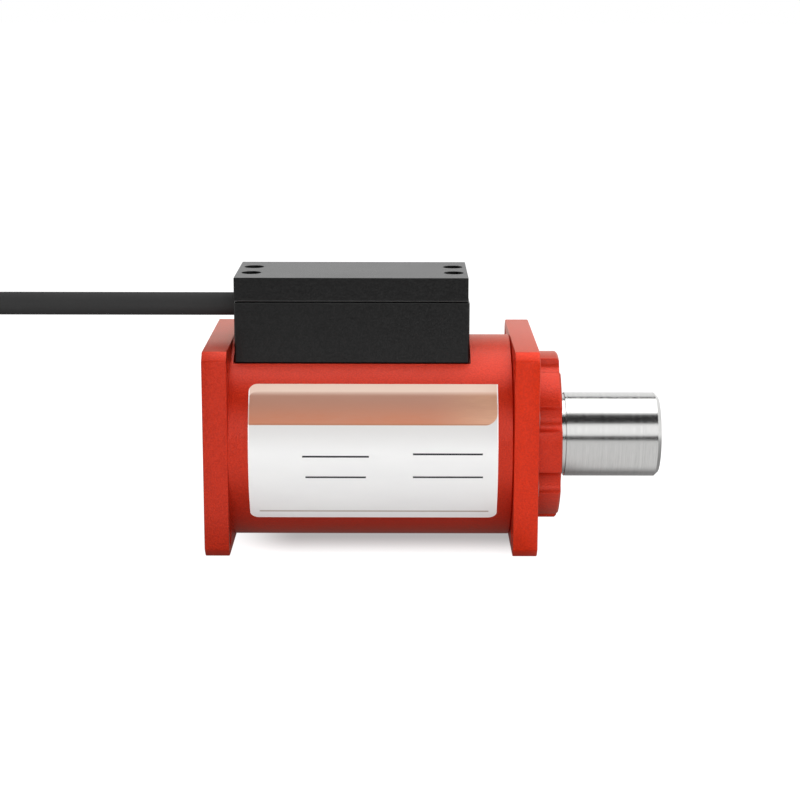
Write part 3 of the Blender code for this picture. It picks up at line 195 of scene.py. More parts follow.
# The cable's hank: strands lie a diameter apart in each turn, in layers from the top down
INNER_TURN = 0.0162
OUTER_TURN = INNER_TURN + CABLE_DIAMETER
LAYERS = (0.0200, 0.0146, 0.0092, 0.0038)
NEAR_TURN = -0.1113
FAR_TURN = -0.1733
LEVEL_END = -0.0540
LANDING = -0.1240
SWAY = 0.0034
RUN_POINTS = 20
DROP_POINTS = 60
DROP_PULL = 0.036
STRAND_STEP = 0.0025
FAR_POINTS = 28
NEAR_POINTS = 40
TAIL_START = (-0.1660, 0.0162, 0.0038)
TAIL_END = (-0.1390, 0.0094, 0.0043)
TAIL_AHEAD = (0.971, -0.239, 0.0)
TAIL_PULL = 0.009
TAIL_POINTS = 16
END_SLEEVE_LAP = 0.0020
END_SLEEVE_LENGTH = 0.0120
END_SLEEVE_WALL = 0.0005
END_SLEEVE_SHAPE = (0.93, *[1.0] * 8, 0.97, 0.90, 0.78)
CORE_RADIUS = 0.00075
CORE_OFFSET = 0.0008
CORE_LENGTH = 0.0250
CORE_SPREAD = 0.0034
CORE_LEAN = 2.2
CORE_PULL = 0.4 * CORE_LENGTH
CORE_POINTS = 24
BARE_POINTS = 5
STRAP_THICKNESS = 0.0008
STRAP_CORNER = 0.0032
STRAP_EDGE = 0.0002
STRAP_TAIL_HALF = 0.0038
STRAP_TAIL_SIDES = (-0.0205, 0.0045)

# The camera that took the photograph
CAMERA_PLACE = (-0.00831, -0.45468, 0.12934)
CAMERA_PITCH = 0.2105
CAMERA_ROLL = 0.0018
CAMERA_LENS = 87.745
SENSOR_WIDTH = 36.0

# The studio: how white the surroundings and the table are, and where the table's glow changes
AMBIENT = 0.20
FLOOR_GLOW = 0.40
FLOOR_WHITE = 0.30
FLOOR_BOUNCE = 0.55
FLOOR_FRONT = -0.30
FLOOR_BACK = 6.0
MIRROR_GLOW = 0.10
MIRROR_FRONT = 0.60
SHADE_MIDDLE = -0.0050
SHADE_LENGTH = 0.0540
SHADE_WIDTH = 0.0100
SHADE_FADE = 0.0190
SHADE_STOP = (0.0012, 0.0002)
FAR_FADE = (0.14, 0.45)
SHAFT_SIDE_FADE = (0.004, -0.010)
SHAFT_END_FADE = (0.020, 0.032)
FRONT_FADE = (-0.030, -0.050)
STUDIO_HALF = 4.0
FLAGS = {"dark_wall": ((-1.7, -1.0), (-1.7, 4.4)), "dark_gap": ((0.84, 1.2), (1.24, 1.2))}


def sheet_between(corners):
    """A flat sheet between its corners."""
    shape = bmesh.new()
    shape.faces.new([shape.verts.new(corner) for corner in corners])
    return shape


def turned(outline, sides=BIG_ROUND, closed=False):
    """A shape spun round the shaft's axis from (station, radius) points: solid, or a closed ring."""
    shape = bmesh.new()
    if not closed:
        outline = [(outline[0][0], 0.0), *outline, (outline[-1][0], 0.0)]
    points = [shape.verts.new((station, 0.0, radius)) for station, radius in outline]
    edges = [shape.edges.new(pair) for pair in zip(points, points[1:])]
    if closed:
        edges.append(shape.edges.new((points[-1], points[0])))
    bmesh.ops.spin(
        shape, geom=points + edges, cent=(0.0, 0.0, 0.0), axis=(1.0, 0.0, 0.0),
        angle=2 * math.pi, steps=sides, use_merge=True,
    )
    bmesh.ops.remove_doubles(shape, verts=shape.verts, dist=SAME_POINT)
    bmesh.ops.recalc_face_normals(shape, faces=shape.faces)
    return shape


def ring(start, end, inner, outer, edge=0.0):
    """A plain ring with its four edges broken if asked."""
    if not edge:
        return turned([(end, outer), (start, outer), (start, inner), (end, inner)], closed=True)
    return turned([
        (end, outer - edge), (end - edge, outer), (start + edge, outer), (start, outer - edge),
        (start, inner + edge), (start + edge, inner), (end - edge, inner), (end, inner + edge),
    ], closed=True)


def block(low, high):
    """A box between two (station, side, height) corners."""
    low, high = Vector(low), Vector(high)
    shape = bmesh.new()
    bmesh.ops.create_cube(shape, size=1.0)
    bmesh.ops.scale(shape, vec=high - low, verts=shape.verts)
    bmesh.ops.translate(shape, vec=(low + high) / 2, verts=shape.verts)
    return shape


def rods(spots, radius, length, axis=(1, 0, 0), sides=SMALL_ROUND):
    """Equal round rods, each from its spot along the axis, or along the shaft."""
    direction = Vector(axis)
    turn = direction.to_track_quat("Z", "Y").to_matrix().to_4x4()
    shape = bmesh.new()
    for spot in spots:
        centre = Vector(spot) + direction * (length / 2)
        bmesh.ops.create_cone(
            shape, cap_ends=True, segments=sides, radius1=radius, radius2=radius, depth=length,
            matrix=Matrix.Translation(centre) @ turn,
        )
    return shape


def bevelled(shape, picked, width, segments, affect="EDGES"):
    """The shape with some of its edges or corners bevelled."""
    bmesh.ops.bevel(
        shape, geom=picked, offset=width, segments=segments, profile=0.5, affect=affect,
        clamp_overlap=True, material=-1,
    )
    return shape


def soften(shape, width, segments=2, angle=35.0, where=None):
    """Bevels the edges that are sharper than the angle, or those of them that where picks."""
    return bevelled(shape, [
        edge for edge in shape.edges
        if len(edge.link_faces) == 2 and edge.calc_face_angle() > math.radians(angle)
        and (where is None or where(edge))
    ], width, segments)


def along_shaft(edge):
    """True for an edge that runs along the shaft."""
    span = edge.verts[0].co - edge.verts[1].co
    return abs(span.x) > 0.9 * span.length


def rest_mesh(shape, name):
    """The shape as a mesh, and the bmesh freed."""
    mesh = bpy.data.meshes.new(name)
    shape.to_mesh(mesh)
    shape.free()
    return mesh


def new_object(name, data):
    """A new object in the scene."""
    made = bpy.data.objects.new(name, data)
    bpy.context.scene.collection.objects.link(made)
    return made


def joined(shape, tools, operation="DIFFERENCE"):
    """The shape with each tool taken away from it or added to it."""
    stock = new_object("stock", rest_mesh(shape, "stock"))
    used = []
    for tool in tools:
        cutter = new_object("cutter", rest_mesh(tool, "cutter"))
        step = stock.modifiers.new("step", "BOOLEAN")
        step.operation = operation
        step.object = cutter
        step.solver = "EXACT"
        used.append(cutter)
    bpy.context.view_layer.update()
    seen = stock.evaluated_get(bpy.context.evaluated_depsgraph_get())
    result = bmesh.new()
    result.from_mesh(seen.to_mesh())
    seen.to_mesh_clear()
    for old in [stock, *used]:
        bpy.data.objects.remove(old)
    bmesh.ops.remove_doubles(result, verts=result.verts, dist=WELD)
    return result


def cover_screw_spots(station):
    """Where the end cover's screws stand: on a circle, the first half a step past the side."""
    radius = COVER_SCREW_CIRCLE / 2
    turns = [(2 * k + 1) * math.pi / COVER_SCREW_COUNT for k in range(COVER_SCREW_COUNT)]
    return [(station, radius * math.cos(turn), radius * math.sin(turn)) for turn in turns]


def corner_holes(start):
    """What drills the four corner holes of the flange that starts at a station."""
    reach = FLANGE_SIDE / 2 - FLANGE_HOLE_INSET
    spots = [(start - PAST, reach * y, reach * z) for y in (-1, 1) for z in (-1, 1)]
    return rods(spots, FLANGE_HOLE / 2, FLANGE_THICKNESS + 2 * PAST)


def lid_screw_spots(height):
    """Where the lid's four screws stand."""
    stations = (BOX_START + LID_SCREW_INSET, BOX_END - LID_SCREW_INSET)
    return [(x, side * LID_SCREW_SPREAD / 2, height) for x in stations for side in (-1, 1)]


def add_piece(name, shape, slot, *nodes, body="housing"):
    """Makes a piece of a shape in station space, in its slot's finish."""
    bmesh.ops.translate(shape, vec=(-MIDDLE, 0.0, AXIS_HEIGHT), verts=shape.verts)
    mesh = rest_mesh(shape, name)
    mesh.shade_smooth()
    mesh.set_sharp_from_angle(angle=math.radians(SMOOTH_ANGLE))
    mesh.materials.append(LOOKS[slot])
    return settle(new_object(name, mesh), nodes, body)


def settle(made, nodes, body="housing"):
    """Lets a finished piece ride and hides the nodes that it stands for."""
    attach(made, body)
    if nodes:
        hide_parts(*nodes)
    return made


class Wire:
    """An output of a node. Arithmetic on it adds Math nodes to its tree."""

    def __init__(self, bench, socket):
        self.bench = bench
        self.socket = socket

    def __add__(self, other):
        return self.bench.maths("ADD", self, other)

    __radd__ = __add__

    def __sub__(self, other):
        return self.bench.maths("SUBTRACT", self, other)

    def __rsub__(self, other):
        return self.bench.maths("SUBTRACT", other, self)

    def __mul__(self, other):
        return self.bench.maths("MULTIPLY", self, other)

    __rmul__ = __mul__

    def __pow__(self, other):
        return self.bench.maths("POWER", self, other)


class Bench:
    """Makes the nodes of one material, or of the world."""

    def __init__(self, tree):
        self.tree = tree

    def node(self, kind, settings=None, inputs=None, output=0):
        """Adds a node: its settings first, then the values or wires of its sockets."""
        made = self.tree.nodes.new(kind)
        for name, value in (settings or {}).items():
            setattr(made, name, value)
        for name, value in (inputs or {}).items():
            if isinstance(value, Wire):
                self.tree.links.new(value.socket, made.inputs[name])
            else:
                made.inputs[name].default_value = value
        return Wire(self, made.outputs[output])

    def maths(self, operation, *values):
        """The result of a Math node."""
        return self.node("ShaderNodeMath", {"operation": operation}, dict(enumerate(values)))

    def past(self, value, limit):
        """How far a value is above a limit, and 0 below it."""
        return self.maths("MAXIMUM", value - limit, 0.0)

    def apart(self, value, middle):
        """How far a value is from a middle, on either side."""
        return self.maths("ABSOLUTE", value - middle)

    def length(self, first, second):
        """The length of a way with two sides at a right angle."""
        return (first * first + second * second) ** 0.5

    def place(self):
        """The piece's own coordinates."""
        return self.node("ShaderNodeTexCoord", output="Object")

    def parts(self):
        """The x, y and z of the piece's own coordinates."""
        place = self.place()
        return [self.node("ShaderNodeSeparateXYZ", inputs={0: place}, output=k) for k in range(3)]

    def axes(self):
        """The station, side and height above the shaft's axis of the shaded point."""
        x, y, z = self.parts()
        return x + MIDDLE, y, z - AXIS_HEIGHT

    def noise(self, scale, stretch=(1.0, 1.0, 1.0), detail=2.0, roughness=0.5):
        """A noise from 0 to 1, stretched along the axes."""
        spot = self.node("ShaderNodeMapping", inputs={"Vector": self.place(), "Scale": stretch})
        return self.node("ShaderNodeTexNoise", inputs={
            "Vector": spot, "Scale": scale, "Detail": detail, "Roughness": roughness,
        })

    def lines(self, along, scale, detail):
        """A noise along one value only."""
        return self.node("ShaderNodeTexNoise", {"noise_dimensions": "1D"}, {
            "W": along, "Scale": scale, "Detail": detail,
        })

    def rise(self, value, low, high):
        """0 below low, 1 above high and a smooth step between them."""
        return self.node("ShaderNodeMapRange", {"interpolation_type": "SMOOTHSTEP"}, {
            "Value": value, "From Min": low, "From Max": high,
        })

    def step(self, value, place, soft):
        """0 below a place and 1 above it, with a soft step."""
        return self.rise(value, place - soft, place + soft)

    def band(self, value, low, high, soft):
        """1 between low and high, with soft sides."""
        return self.step(value, low, soft) * (1 - self.step(value, high, soft))

    def mix(self, mask, first, second):
        """A colour that goes from the first to the second as the mask goes from 0 to 1."""
        first, second = (tone if isinstance(tone, Wire) else (*tone, 1.0) for tone in (first, second))
        return self.node("ShaderNodeMix", {"data_type": "RGBA"}, {0: mask, 6: first, 7: second}, 2)

    def bump(self, height, distance, strength=1.0):
        """A normal that follows a height."""
        return self.node("ShaderNodeBump", inputs={
            "Height": height, "Distance": distance, "Strength": strength,
        })


class Finish(Bench):
    """A material with one Principled shader."""

    def __init__(self, name, **fixed):
        self.material = bpy.data.materials.new(name)
        self.material.use_nodes = True
        super().__init__(self.material.node_tree)
        self.shader = self.tree.nodes["Principled BSDF"]
        self.put(**fixed)

    def put(self, **values):
        """Sets or wires sockets of the shader: base_color stands for Base Color."""
        for name, value in values.items():
            label = "Specular IOR Level" if name == "specular" else name.replace("_", " ").title()
            socket = self.shader.inputs[label]
            if isinstance(value, Wire):
                self.tree.links.new(value.socket, socket)
            else:
                socket.default_value = (*value, 1.0) if isinstance(value, tuple) else value


def red_anodising():
    """Bead-blasted aluminium under a clear anodised skin; the output flange's plate has a painted
    brighter, more orange red that stands in for the stronger light on it.
    """
    look = Finish(
        "red_anodised", metallic=0.55, specular=0.25, specular_tint=(1.0, 0.70, 0.40),
        coat_weight=0.50, coat_roughness=0.32,
    )
    cloud = look.noise(60.0, detail=3.0)
    grain = look.noise(2600.0, roughness=0.6)
    pits = look.noise(1500.0, detail=1.0)
    # Painted light: the output flange's plate, not its boss, gets a brighter and more orange red in
    # place of the stronger light that falls on it.
    flange = look.band(look.axes()[0], COVER_START, BODY_LENGTH + 2 * HAIR_GAP, HAIR_GAP)
    deep = look.mix(flange, (0.51, 0.018, 0.004), (0.62, 0.019, 0.001))
    bright = look.mix(flange, (0.71, 0.034, 0.008), (0.85, 0.034, 0.002))
    look.put(
        base_color=look.mix(look.rise(grain, 0.3, 0.7) * 0.6 + cloud * 0.4, deep, bright),
        roughness=0.34 + grain * 0.12 + cloud * 0.04,
        normal=look.bump(grain * 0.7 + pits * 0.3, 0.00022, 0.55),
    )
    return look.material


def black_anodising():
    """Bead-blasted aluminium, anodised black, with a painted highlight line along the foot of the lid.
    """
    look = Finish("black_anodised")
    grain = look.noise(2600.0, roughness=0.6)
    cloud = look.noise(90.0)
    dyed = look.mix(look.rise(grain, 0.35, 0.75), (0.0005, 0.0005, 0.0005), (0.006, 0.006, 0.006))
    # Painted highlight: a thin lighter band along the lid's foot stands in for the seam's edge catching
    # the light.
    painted_seam_highlight = look.band(look.axes()[2], LID_FOOT - 0.00002, LID_FOOT + 0.00025, 0.00002)
    look.put(
        base_color=look.mix(painted_seam_highlight * (0.5 + 0.5 * cloud), dyed, (0.032, 0.032, 0.032)),
        roughness=0.26 + grain * 0.10 + cloud * 0.04,
        normal=look.bump(grain, 0.00012, 0.4),
    )
    return look.material


def turned_metal(name, colour, roughness, groove):
    """Steel with the fine rings that a lathe tool leaves."""
    look = Finish(name, metallic=1.0)
    station, side, height = look.axes()
    path = station + look.length(side, height)
    fine = look.lines(path, 4500.0, 4.0)
    coarse = look.lines(path, 1100.0, 2.0)
    streak = look.noise(700.0, (5.0, 0.6, 0.6), 3.0)
    speck = look.noise(3000.0, (1.6, 0.7, 0.7))
    tone = look.rise(0.40 * fine + 0.25 * coarse + 0.35 * streak, 0.2, 0.8)
    look.put(
        base_color=look.mix(tone, tuple(0.8 * part for part in colour), colour),
        roughness=(roughness - 0.06) + tone * 0.12,
        normal=look.bump(0.4 * fine + 0.2 * coarse + 0.4 * speck, groove, 0.5),
    )
    return look.material


def plain_metal(name, colour, roughness, metallic=1.0):
    """Metal with a faint cloud and fine scratches."""
    look = Finish(name, metallic=metallic)
    cloud = look.noise(400.0, detail=3.0)
    scratch = look.noise(2600.0, (1.0, 0.15, 1.0), 3.0)
    tone = 0.5 * cloud + 0.5 * scratch
    look.put(
        base_color=look.mix(tone, tuple(0.8 * part for part in colour), colour),
        roughness=(roughness - 0.06) + tone * 0.12,
        normal=look.bump(scratch, 0.00003, 0.3),
    )
    return look.material


def moulded(name, colour, roughness, grain_scale=1800.0, depth=0.00005):
    """Plastic, resin or rubber with a fine moulded grain."""
    look = Finish(name)
    grain = look.noise(grain_scale)
    cloud = look.noise(150.0)
    look.put(
        base_color=look.mix(0.6 * cloud + 0.4 * grain, tuple(0.75 * part for part in colour), colour),
        roughness=(roughness - 0.05) + grain * 0.1,
        normal=look.bump(grain, depth, 0.3),
    )
    return look.material


def strap_weave():
    """Woven nylon strap with a looped face."""
    look = Finish("tie_strap", roughness=0.85, sheen_weight=0.3)
    weave = look.noise(2200.0, (1.0, 0.35, 0.35))
    ribs = look.lines(look.axes()[0], 2500.0, 1.0)
    look.put(
        base_color=look.mix(weave, (0.010, 0.010, 0.011), (0.045, 0.045, 0.048)),
        normal=look.bump(0.6 * weave + 0.4 * ribs, 0.0002, 0.6),
    )
    return look.material


def header_mask(look, across, up):
    """Where the label's header is, fading out towards its top, and where its low corner is cut."""
    high_corner = look.length(look.past(LABEL_CORNER, across), look.past(up, HEADER_TOP - LABEL_CORNER))
    low_corner = look.length(
        look.past(across, HEADER_END - HEADER_CORNER), look.past(HEADER_BOTTOM + HEADER_CORNER, up)
    )
    cut = look.step(low_corner, HEADER_CORNER, PRINT_SOFT)
    header = look.step(up, HEADER_BOTTOM, PRINT_SOFT) * (1 - look.rise(up, *HEADER_FADE))
    header = header * (1 - look.step(across, HEADER_END, PRINT_SOFT / 2))
    return header * (1 - look.step(high_corner, LABEL_CORNER, PRINT_SOFT)) * (1 - cut), cut


def header_bronze(look, across, up, streaks):
    """The header's bronze: browner at the left and low, paler at the right with a painted highlight,
    with a line below.
    """
    fall = look.rise(up, HEADER_BOTTOM, HEADER_TOP)
    bronze = look.mix(fall, (0.63, 0.21, 0.10), (0.61, 0.36, 0.28))
    # Painted highlight: the bronze turns paler towards the header's right end.
    glint = look.mix(look.rise(across, *GLINT_FADE), bronze, (0.82, 0.50, 0.32))
    streaked = look.mix(streaks, (0.60, 0.30, 0.21), glint)
    line = look.band(up, HEADER_BOTTOM - PRINT_SOFT, HEADER_BOTTOM + HEADER_LINE, PRINT_SOFT)
    return look.mix(line * 0.5, streaked, (0.42, 0.17, 0.08))


def label_field(look, up, cloud):
    """The plate's own silvery white, with painted shade above the shaft's level, and warm along its
    top.
    """
    silver = look.mix(cloud, (0.88, 0.88, 0.88), (0.94, 0.94, 0.93))
    # Painted shade: the field is painted greyer above the shaft's level.
    painted_upper_shade = look.mix(look.rise(up, 0.0, HEADER_BOTTOM), silver, (0.72, 0.71, 0.70))
    return look.mix(look.rise(up, *RIM_FADE), painted_upper_shade, (0.84, 0.64, 0.53))


def label_edging(look, across, up):
    """Where the plate's pale edge is: both ends and the lower side."""
    half_length = LABEL_LENGTH / 2
    ends = look.past(look.apart(across, half_length), half_length - LABEL_CORNER)
    side = look.past(LABEL_CORNER - LABEL_HALF_ARC, up)
    start = LABEL_CORNER - EDGING_WIDTH
    return look.rise(look.length(ends, side), start, start + EDGING_SOFT)


def label_print():
    """A silvery plate with a bronze header, a pale field with ruled lines and a thin foot line."""
    look = Finish("label_face", specular=0.3)
    station, side, height = look.axes()
    across = station - LABEL_START
    up = look.maths("ARCTAN2", height, side * -1.0) * LABEL_RADIUS
    brush = look.noise(900.0, (0.35, 3.0, 3.0), 3.0, 0.6)
    cloud = look.noise(110.0, (0.6, 2.0, 2.0))
    header, cut = header_mask(look, across, up)
    bronze = header_bronze(look, across, up, 0.55 * brush + 0.45 * cloud)
    face = look.mix(header, label_field(look, up, cloud), bronze)
    dull = look.band(up, *DULL_EDGING) * (1 - cut)
    face = look.mix(label_edging(look, across, up) * (1 - 0.6 * dull), face, (1.0, 0.93, 0.91))
    for start, end, level in RULES:
        rule = look.band(across, start, end, PRINT_SOFT / 2) * look.band(
            up, level - RULE_HALF, level + RULE_HALF, PRINT_SOFT / 2
        )
        face = look.mix(rule, face, (0.015, 0.015, 0.016))
    foot = look.band(across, *FOOT_LINE_ENDS, 2 * PRINT_SOFT) * look.band(
        up, *FOOT_LINE_EDGES, PRINT_SOFT
    )
    look.put(
        base_color=look.mix(foot, face, (0.40, 0.30, 0.23)),
        roughness=0.40 + brush * 0.08,
        metallic=header * 0.5,
        normal=look.bump(brush, 0.00002, 0.3),
    )
    return look.material


def jacket():
    """The cable's satin black sheath, with faint draw lines."""
    look = Finish("cable_jacket", specular=0.35)
    grain = look.noise(2200.0)
    drawn = look.noise(900.0, (0.05, 1.0, 1.0))
    look.put(
        base_color=look.mix(0.5 * grain + 0.5 * drawn, (0.020, 0.020, 0.020), (0.036, 0.036, 0.036)),
        roughness=0.64 + grain * 0.10,
        normal=look.bump(0.5 * grain + 0.5 * drawn, 0.00004, 0.25),
    )
    return look.material


FINISHES = (
    red_anodising(),
    black_anodising(),
    turned_metal("turned_steel", (0.74, 0.74, 0.73), 0.19, 0.000016),
    turned_metal("bearing_steel", (0.72, 0.72, 0.73), 0.14, 0.00001),
    plain_metal("spring_steel", (0.10, 0.10, 0.105), 0.38, 0.9),
    plain_metal("screw_steel", (0.48, 0.48, 0.49), 0.34),
    plain_metal("black_screw", (0.018, 0.018, 0.019), 0.42, 0.6),
    label_print(),
    jacket(),
    strap_weave(),
    moulded("seal_rubber", (0.018, 0.018, 0.018), 0.55),
    turned_metal("slip_ring_metal", (0.78, 0.74, 0.66), 0.18, 0.00002),
    moulded("insulating_resin", (0.34, 0.20, 0.09), 0.5),
    moulded("silver_graphite", (0.09, 0.09, 0.095), 0.45),
    moulded("board_green", (0.02, 0.17, 0.06), 0.38, 900.0, 0.00002),
    moulded("core_insulation", (0.45, 0.08, 0.06), 0.4),
    moulded("gauge_foil", (0.75, 0.42, 0.12), 0.35, 2400.0, 0.00001),
)
# The frame's own materials hold the slots' names, so Blender may have added a number after a dot
LOOKS = {finish.name.split(".")[0]: finish for finish in FINISHES}
CORES = (
    moulded("core_red", (0.55, 0.02, 0.015), 0.4),
    moulded("core_black", (0.02, 0.02, 0.02), 0.4),
    moulded("core_green", (0.03, 0.30, 0.07), 0.4),
    moulded("core_white", (0.75, 0.75, 0.73), 0.4),
)


def dress_nodes():
    """Gives each of the frame's nodes the finish of its slot."""
    for subpart in frame["record"]["subparts"]:
        mesh = frame["nodes"][subpart["node"]].data
        mesh.materials.clear()
        mesh.materials.append(LOOKS[subpart["material_slot"]])


def chamfered_plate(start):
    """A square flange with its corners cut off and every edge broken."""
    half = FLANGE_SIDE / 2
    plate = block((start, -half, -half), (start + FLANGE_THICKNESS, half, half))
    corners = [edge for edge in plate.edges if along_shaft(edge)]
    return soften(bevelled(plate, corners, FLANGE_CORNER, 1), EDGE_BREAK, 2, 40.0)


def make_housing():
    """The tube and the input flange, with the bore, the box's seat and the corner holes."""
    radius = TUBE_DIAMETER / 2
    tube = turned([
        (TUBE_END, radius - EDGE_BREAK), (TUBE_END - EDGE_BREAK, radius),
        (FLANGE_THICKNESS / 2, radius),
    ])
    groove_start = RETAINING_RING_SETBACK - FIT_GAP
    groove_end = RETAINING_RING_SETBACK + RETAINING_RING + FIT_GAP
    groove = HOUSING_BORE + RETAINING_RING_DEPTH + FIT_GAP
    bore = turned([
        (TUBE_END + PAST, HOUSING_BORE), (OUTPUT_BEARING - FIT_GAP, HOUSING_BORE),
        (OUTPUT_BEARING - FIT_GAP, CAVITY_DIAMETER / 2),
        (INPUT_BEARING + BEARING_WIDTH + FIT_GAP, CAVITY_DIAMETER / 2),
        (INPUT_BEARING + BEARING_WIDTH + FIT_GAP, HOUSING_BORE), (groove_end, HOUSING_BORE),
        (groove_end, groove), (groove_start, groove), (groove_start, HOUSING_BORE),
        (EDGE_BREAK, HOUSING_BORE), (-PAST, HOUSING_BORE + EDGE_BREAK + PAST),
    ])
    seat = block(
        (BOX_START - FIT_GAP, -FLANGE_SIDE, BOX_BASE - HAIR_GAP),
        (BOX_END + FIT_GAP, FLANGE_SIDE, FLANGE_SIDE),
    )
    body = joined(tube, [chamfered_plate(0.0)], "UNION")
    body = joined(body, [bore, seat, corner_holes(0.0)])
    add_piece("housing", body, "red_anodised", "main_housing")


def make_cover():
    """The output flange with its scalloped boss and the seal's bore."""
    boss_radius = BOSS_DIAMETER / 2
    inside_plate = BODY_LENGTH - FLANGE_THICKNESS / 2
    boss = turned([
        (BOSS_FACE, boss_radius - BOSS_EDGE), (BOSS_FACE - BOSS_EDGE, boss_radius),
        (inside_plate, boss_radius),
    ])
    spigot = turned([(inside_plate, BEARING_OUTER / 2), (SPIGOT_FACE, BEARING_OUTER / 2)])
    cavity_end = SPIGOT_FACE + COVER_CAVITY_DEPTH
    web_end = cavity_end + COVER_WEB
    seal_bore = SEAL_DIAMETER / 2 + FIT_GAP
    web = SHAFT_DIAMETER / 2 + WEB_CLEARANCE
    bore = turned([
        (BOSS_FACE + PAST, seal_bore + EDGE_BREAK + PAST), (BOSS_FACE - EDGE_BREAK, seal_bore),
        (web_end, seal_bore), (web_end, web), (cavity_end, web),
        (cavity_end, SEAL_DIAMETER / 2), (SPIGOT_FACE - PAST, SEAL_DIAMETER / 2),
    ])
    seats = cover_screw_spots(COVER_HEAD_BASE - FIT_GAP)
    scallops = rods(seats, COUNTERBORE_DIAMETER / 2, BOSS_FACE + PAST - COVER_HEAD_BASE)
    screw_holes = rods(
        [(BODY_LENGTH, y, z) for _, y, z in seats], COVER_SCREW[0] / 2 + FIT_GAP,
        FLANGE_THICKNESS + PAST, (-1, 0, 0),
    )
    body = joined(chamfered_plate(COVER_START), [boss, spigot], "UNION")
    body = joined(body, [bore, corner_holes(COVER_START), screw_holes, scallops])
    soften(
        body, FINE_EDGE, 2, 40.0,
        lambda edge: edge.is_convex and min(end.co.x for end in edge.verts) > BODY_LENGTH - FINE_EDGE
        and max(end.co.yz.length for end in edge.verts) > SEAL_DIAMETER / 2 + EDGE_BREAK * 2,
    )
    add_piece("bolted_cover", body, "red_anodised", "end_cover")


def socket_screw(size, length):
    """A cap screw along +Z with its head's seat at the origin."""
    diameter, head_diameter, head_height, key = size
    bevel = head_diameter / 18
    shank = diameter / 2
    body = turned([
        (head_height, head_diameter / 2 - bevel),
        (head_height - 0.3 * bevel, head_diameter / 2 - 0.35 * bevel),
        (head_height - bevel, head_diameter / 2), (bevel / 2, head_diameter / 2),
        (0.0, head_diameter / 2 - bevel / 2), (0.0, shank), (-length + bevel, shank),
        (-length, shank - bevel),
    ], SMALL_ROUND)
    across = key / math.sqrt(3)
    socket = rods([(head_height * 0.45, 0.0, 0.0)], across, head_height, sides=6)
    lead_in = turned(
        [(head_height + bevel, across + 2 * bevel), (head_height - bevel, across * 0.9)],
        SMALL_ROUND,
    )
    return joined(body, [socket, lead_in])


def fasten(name, size, length, spots, axis, slot, node):
    """A finer cap screw for each of a node's screws."""
    pattern = socket_screw(size, length)
    turn = Vector((1.0, 0.0, 0.0)).rotation_difference(Vector(axis)).to_matrix().to_4x4()
    for number, spot in enumerate(spots, 1):
        screw = pattern.copy()
        twist = Matrix.Rotation(SCREW_TWIST * number, 4, "X")
        screw.transform(Matrix.Translation(spot) @ turn @ twist)
        add_piece(f"{name}_{number}", screw, slot, f"{node}_{number}")
    pattern.free()


def collar(start, foot):
    """The outline of a collar on the shaft, from its far side back to its start."""
    end, top = start + COLLAR_WIDTH, foot + COLLAR_HEIGHT
    return [(end, foot), (end, top), (start, top), (start, foot)]


def make_shaft():
    """The turned shaft, with its keyed bore and the neck behind its ground end."""
    hub = SEAT_RADIUS
    waist = WAIST_DIAMETER / 2
    output = SHAFT_DIAMETER / 2
    neck = output - NECK_DEPTH
    hub_end = INPUT_RECESS + HUB_LENGTH
    waist_start = hub_end + WAIST_TAPER
    waist_end = waist_start + WAIST_LENGTH
    first_collar = INPUT_BEARING + BEARING_WIDTH + FIT_GAP
    second_collar = waist_end + WAIST_TAPER
    groove = OUTPUT_BEARING + BEARING_WIDTH + FIT_GAP
    groove_end = groove + RETAINING_RING + 2 * FIT_GAP
    seat_end = groove_end + RETAINING_RING
    bore_end = INPUT_RECESS + INPUT_BORE_DEPTH
    soft = SHAFT_CHAMFER / 8
    step = BOSS_FACE + NECK_LENGTH + NECK_DEPTH / 2
    body = turned([
        (SHAFT_END, output - SHAFT_CHAMFER - soft), (SHAFT_END - soft, output - SHAFT_CHAMFER),
        (SHAFT_END - SHAFT_CHAMFER, output - soft), (SHAFT_END - SHAFT_CHAMFER - soft, output),
        (step + NECK_EDGE, output), (step + 0.4 * NECK_EDGE, output - 0.4 * NECK_EDGE),
        (step, output - NECK_EDGE), (step, neck), (SEAL_FACE, neck), (SEAL_FACE, output),
        (seat_end, output), (seat_end, hub), (groove_end, hub),
        (groove_end, hub - RETAINING_RING_DEPTH), (groove, hub - RETAINING_RING_DEPTH),
        (groove, hub), *collar(second_collar, hub), (waist_end, waist), (waist_start, waist),
        (hub_end, hub), *collar(first_collar, hub), (INPUT_RECESS + EDGE_BREAK, hub),
        (INPUT_RECESS, hub - EDGE_BREAK), (INPUT_RECESS, INPUT_BORE / 2 + EDGE_BREAK),
        (INPUT_RECESS + EDGE_BREAK, INPUT_BORE / 2), (bore_end, INPUT_BORE / 2),
    ])
    keyway = block(
        (-FLANGE_THICKNESS, -KEY_WIDTH / 2, 0.0),
        (bore_end - 2 * EDGE_BREAK, KEY_WIDTH / 2, INPUT_BORE / 2 + KEY_DEPTH),
    )
    body = joined(body, [keyway])
    add_piece("steel_shaft", body, "turned_steel", "torque_shaft", body="shaft")


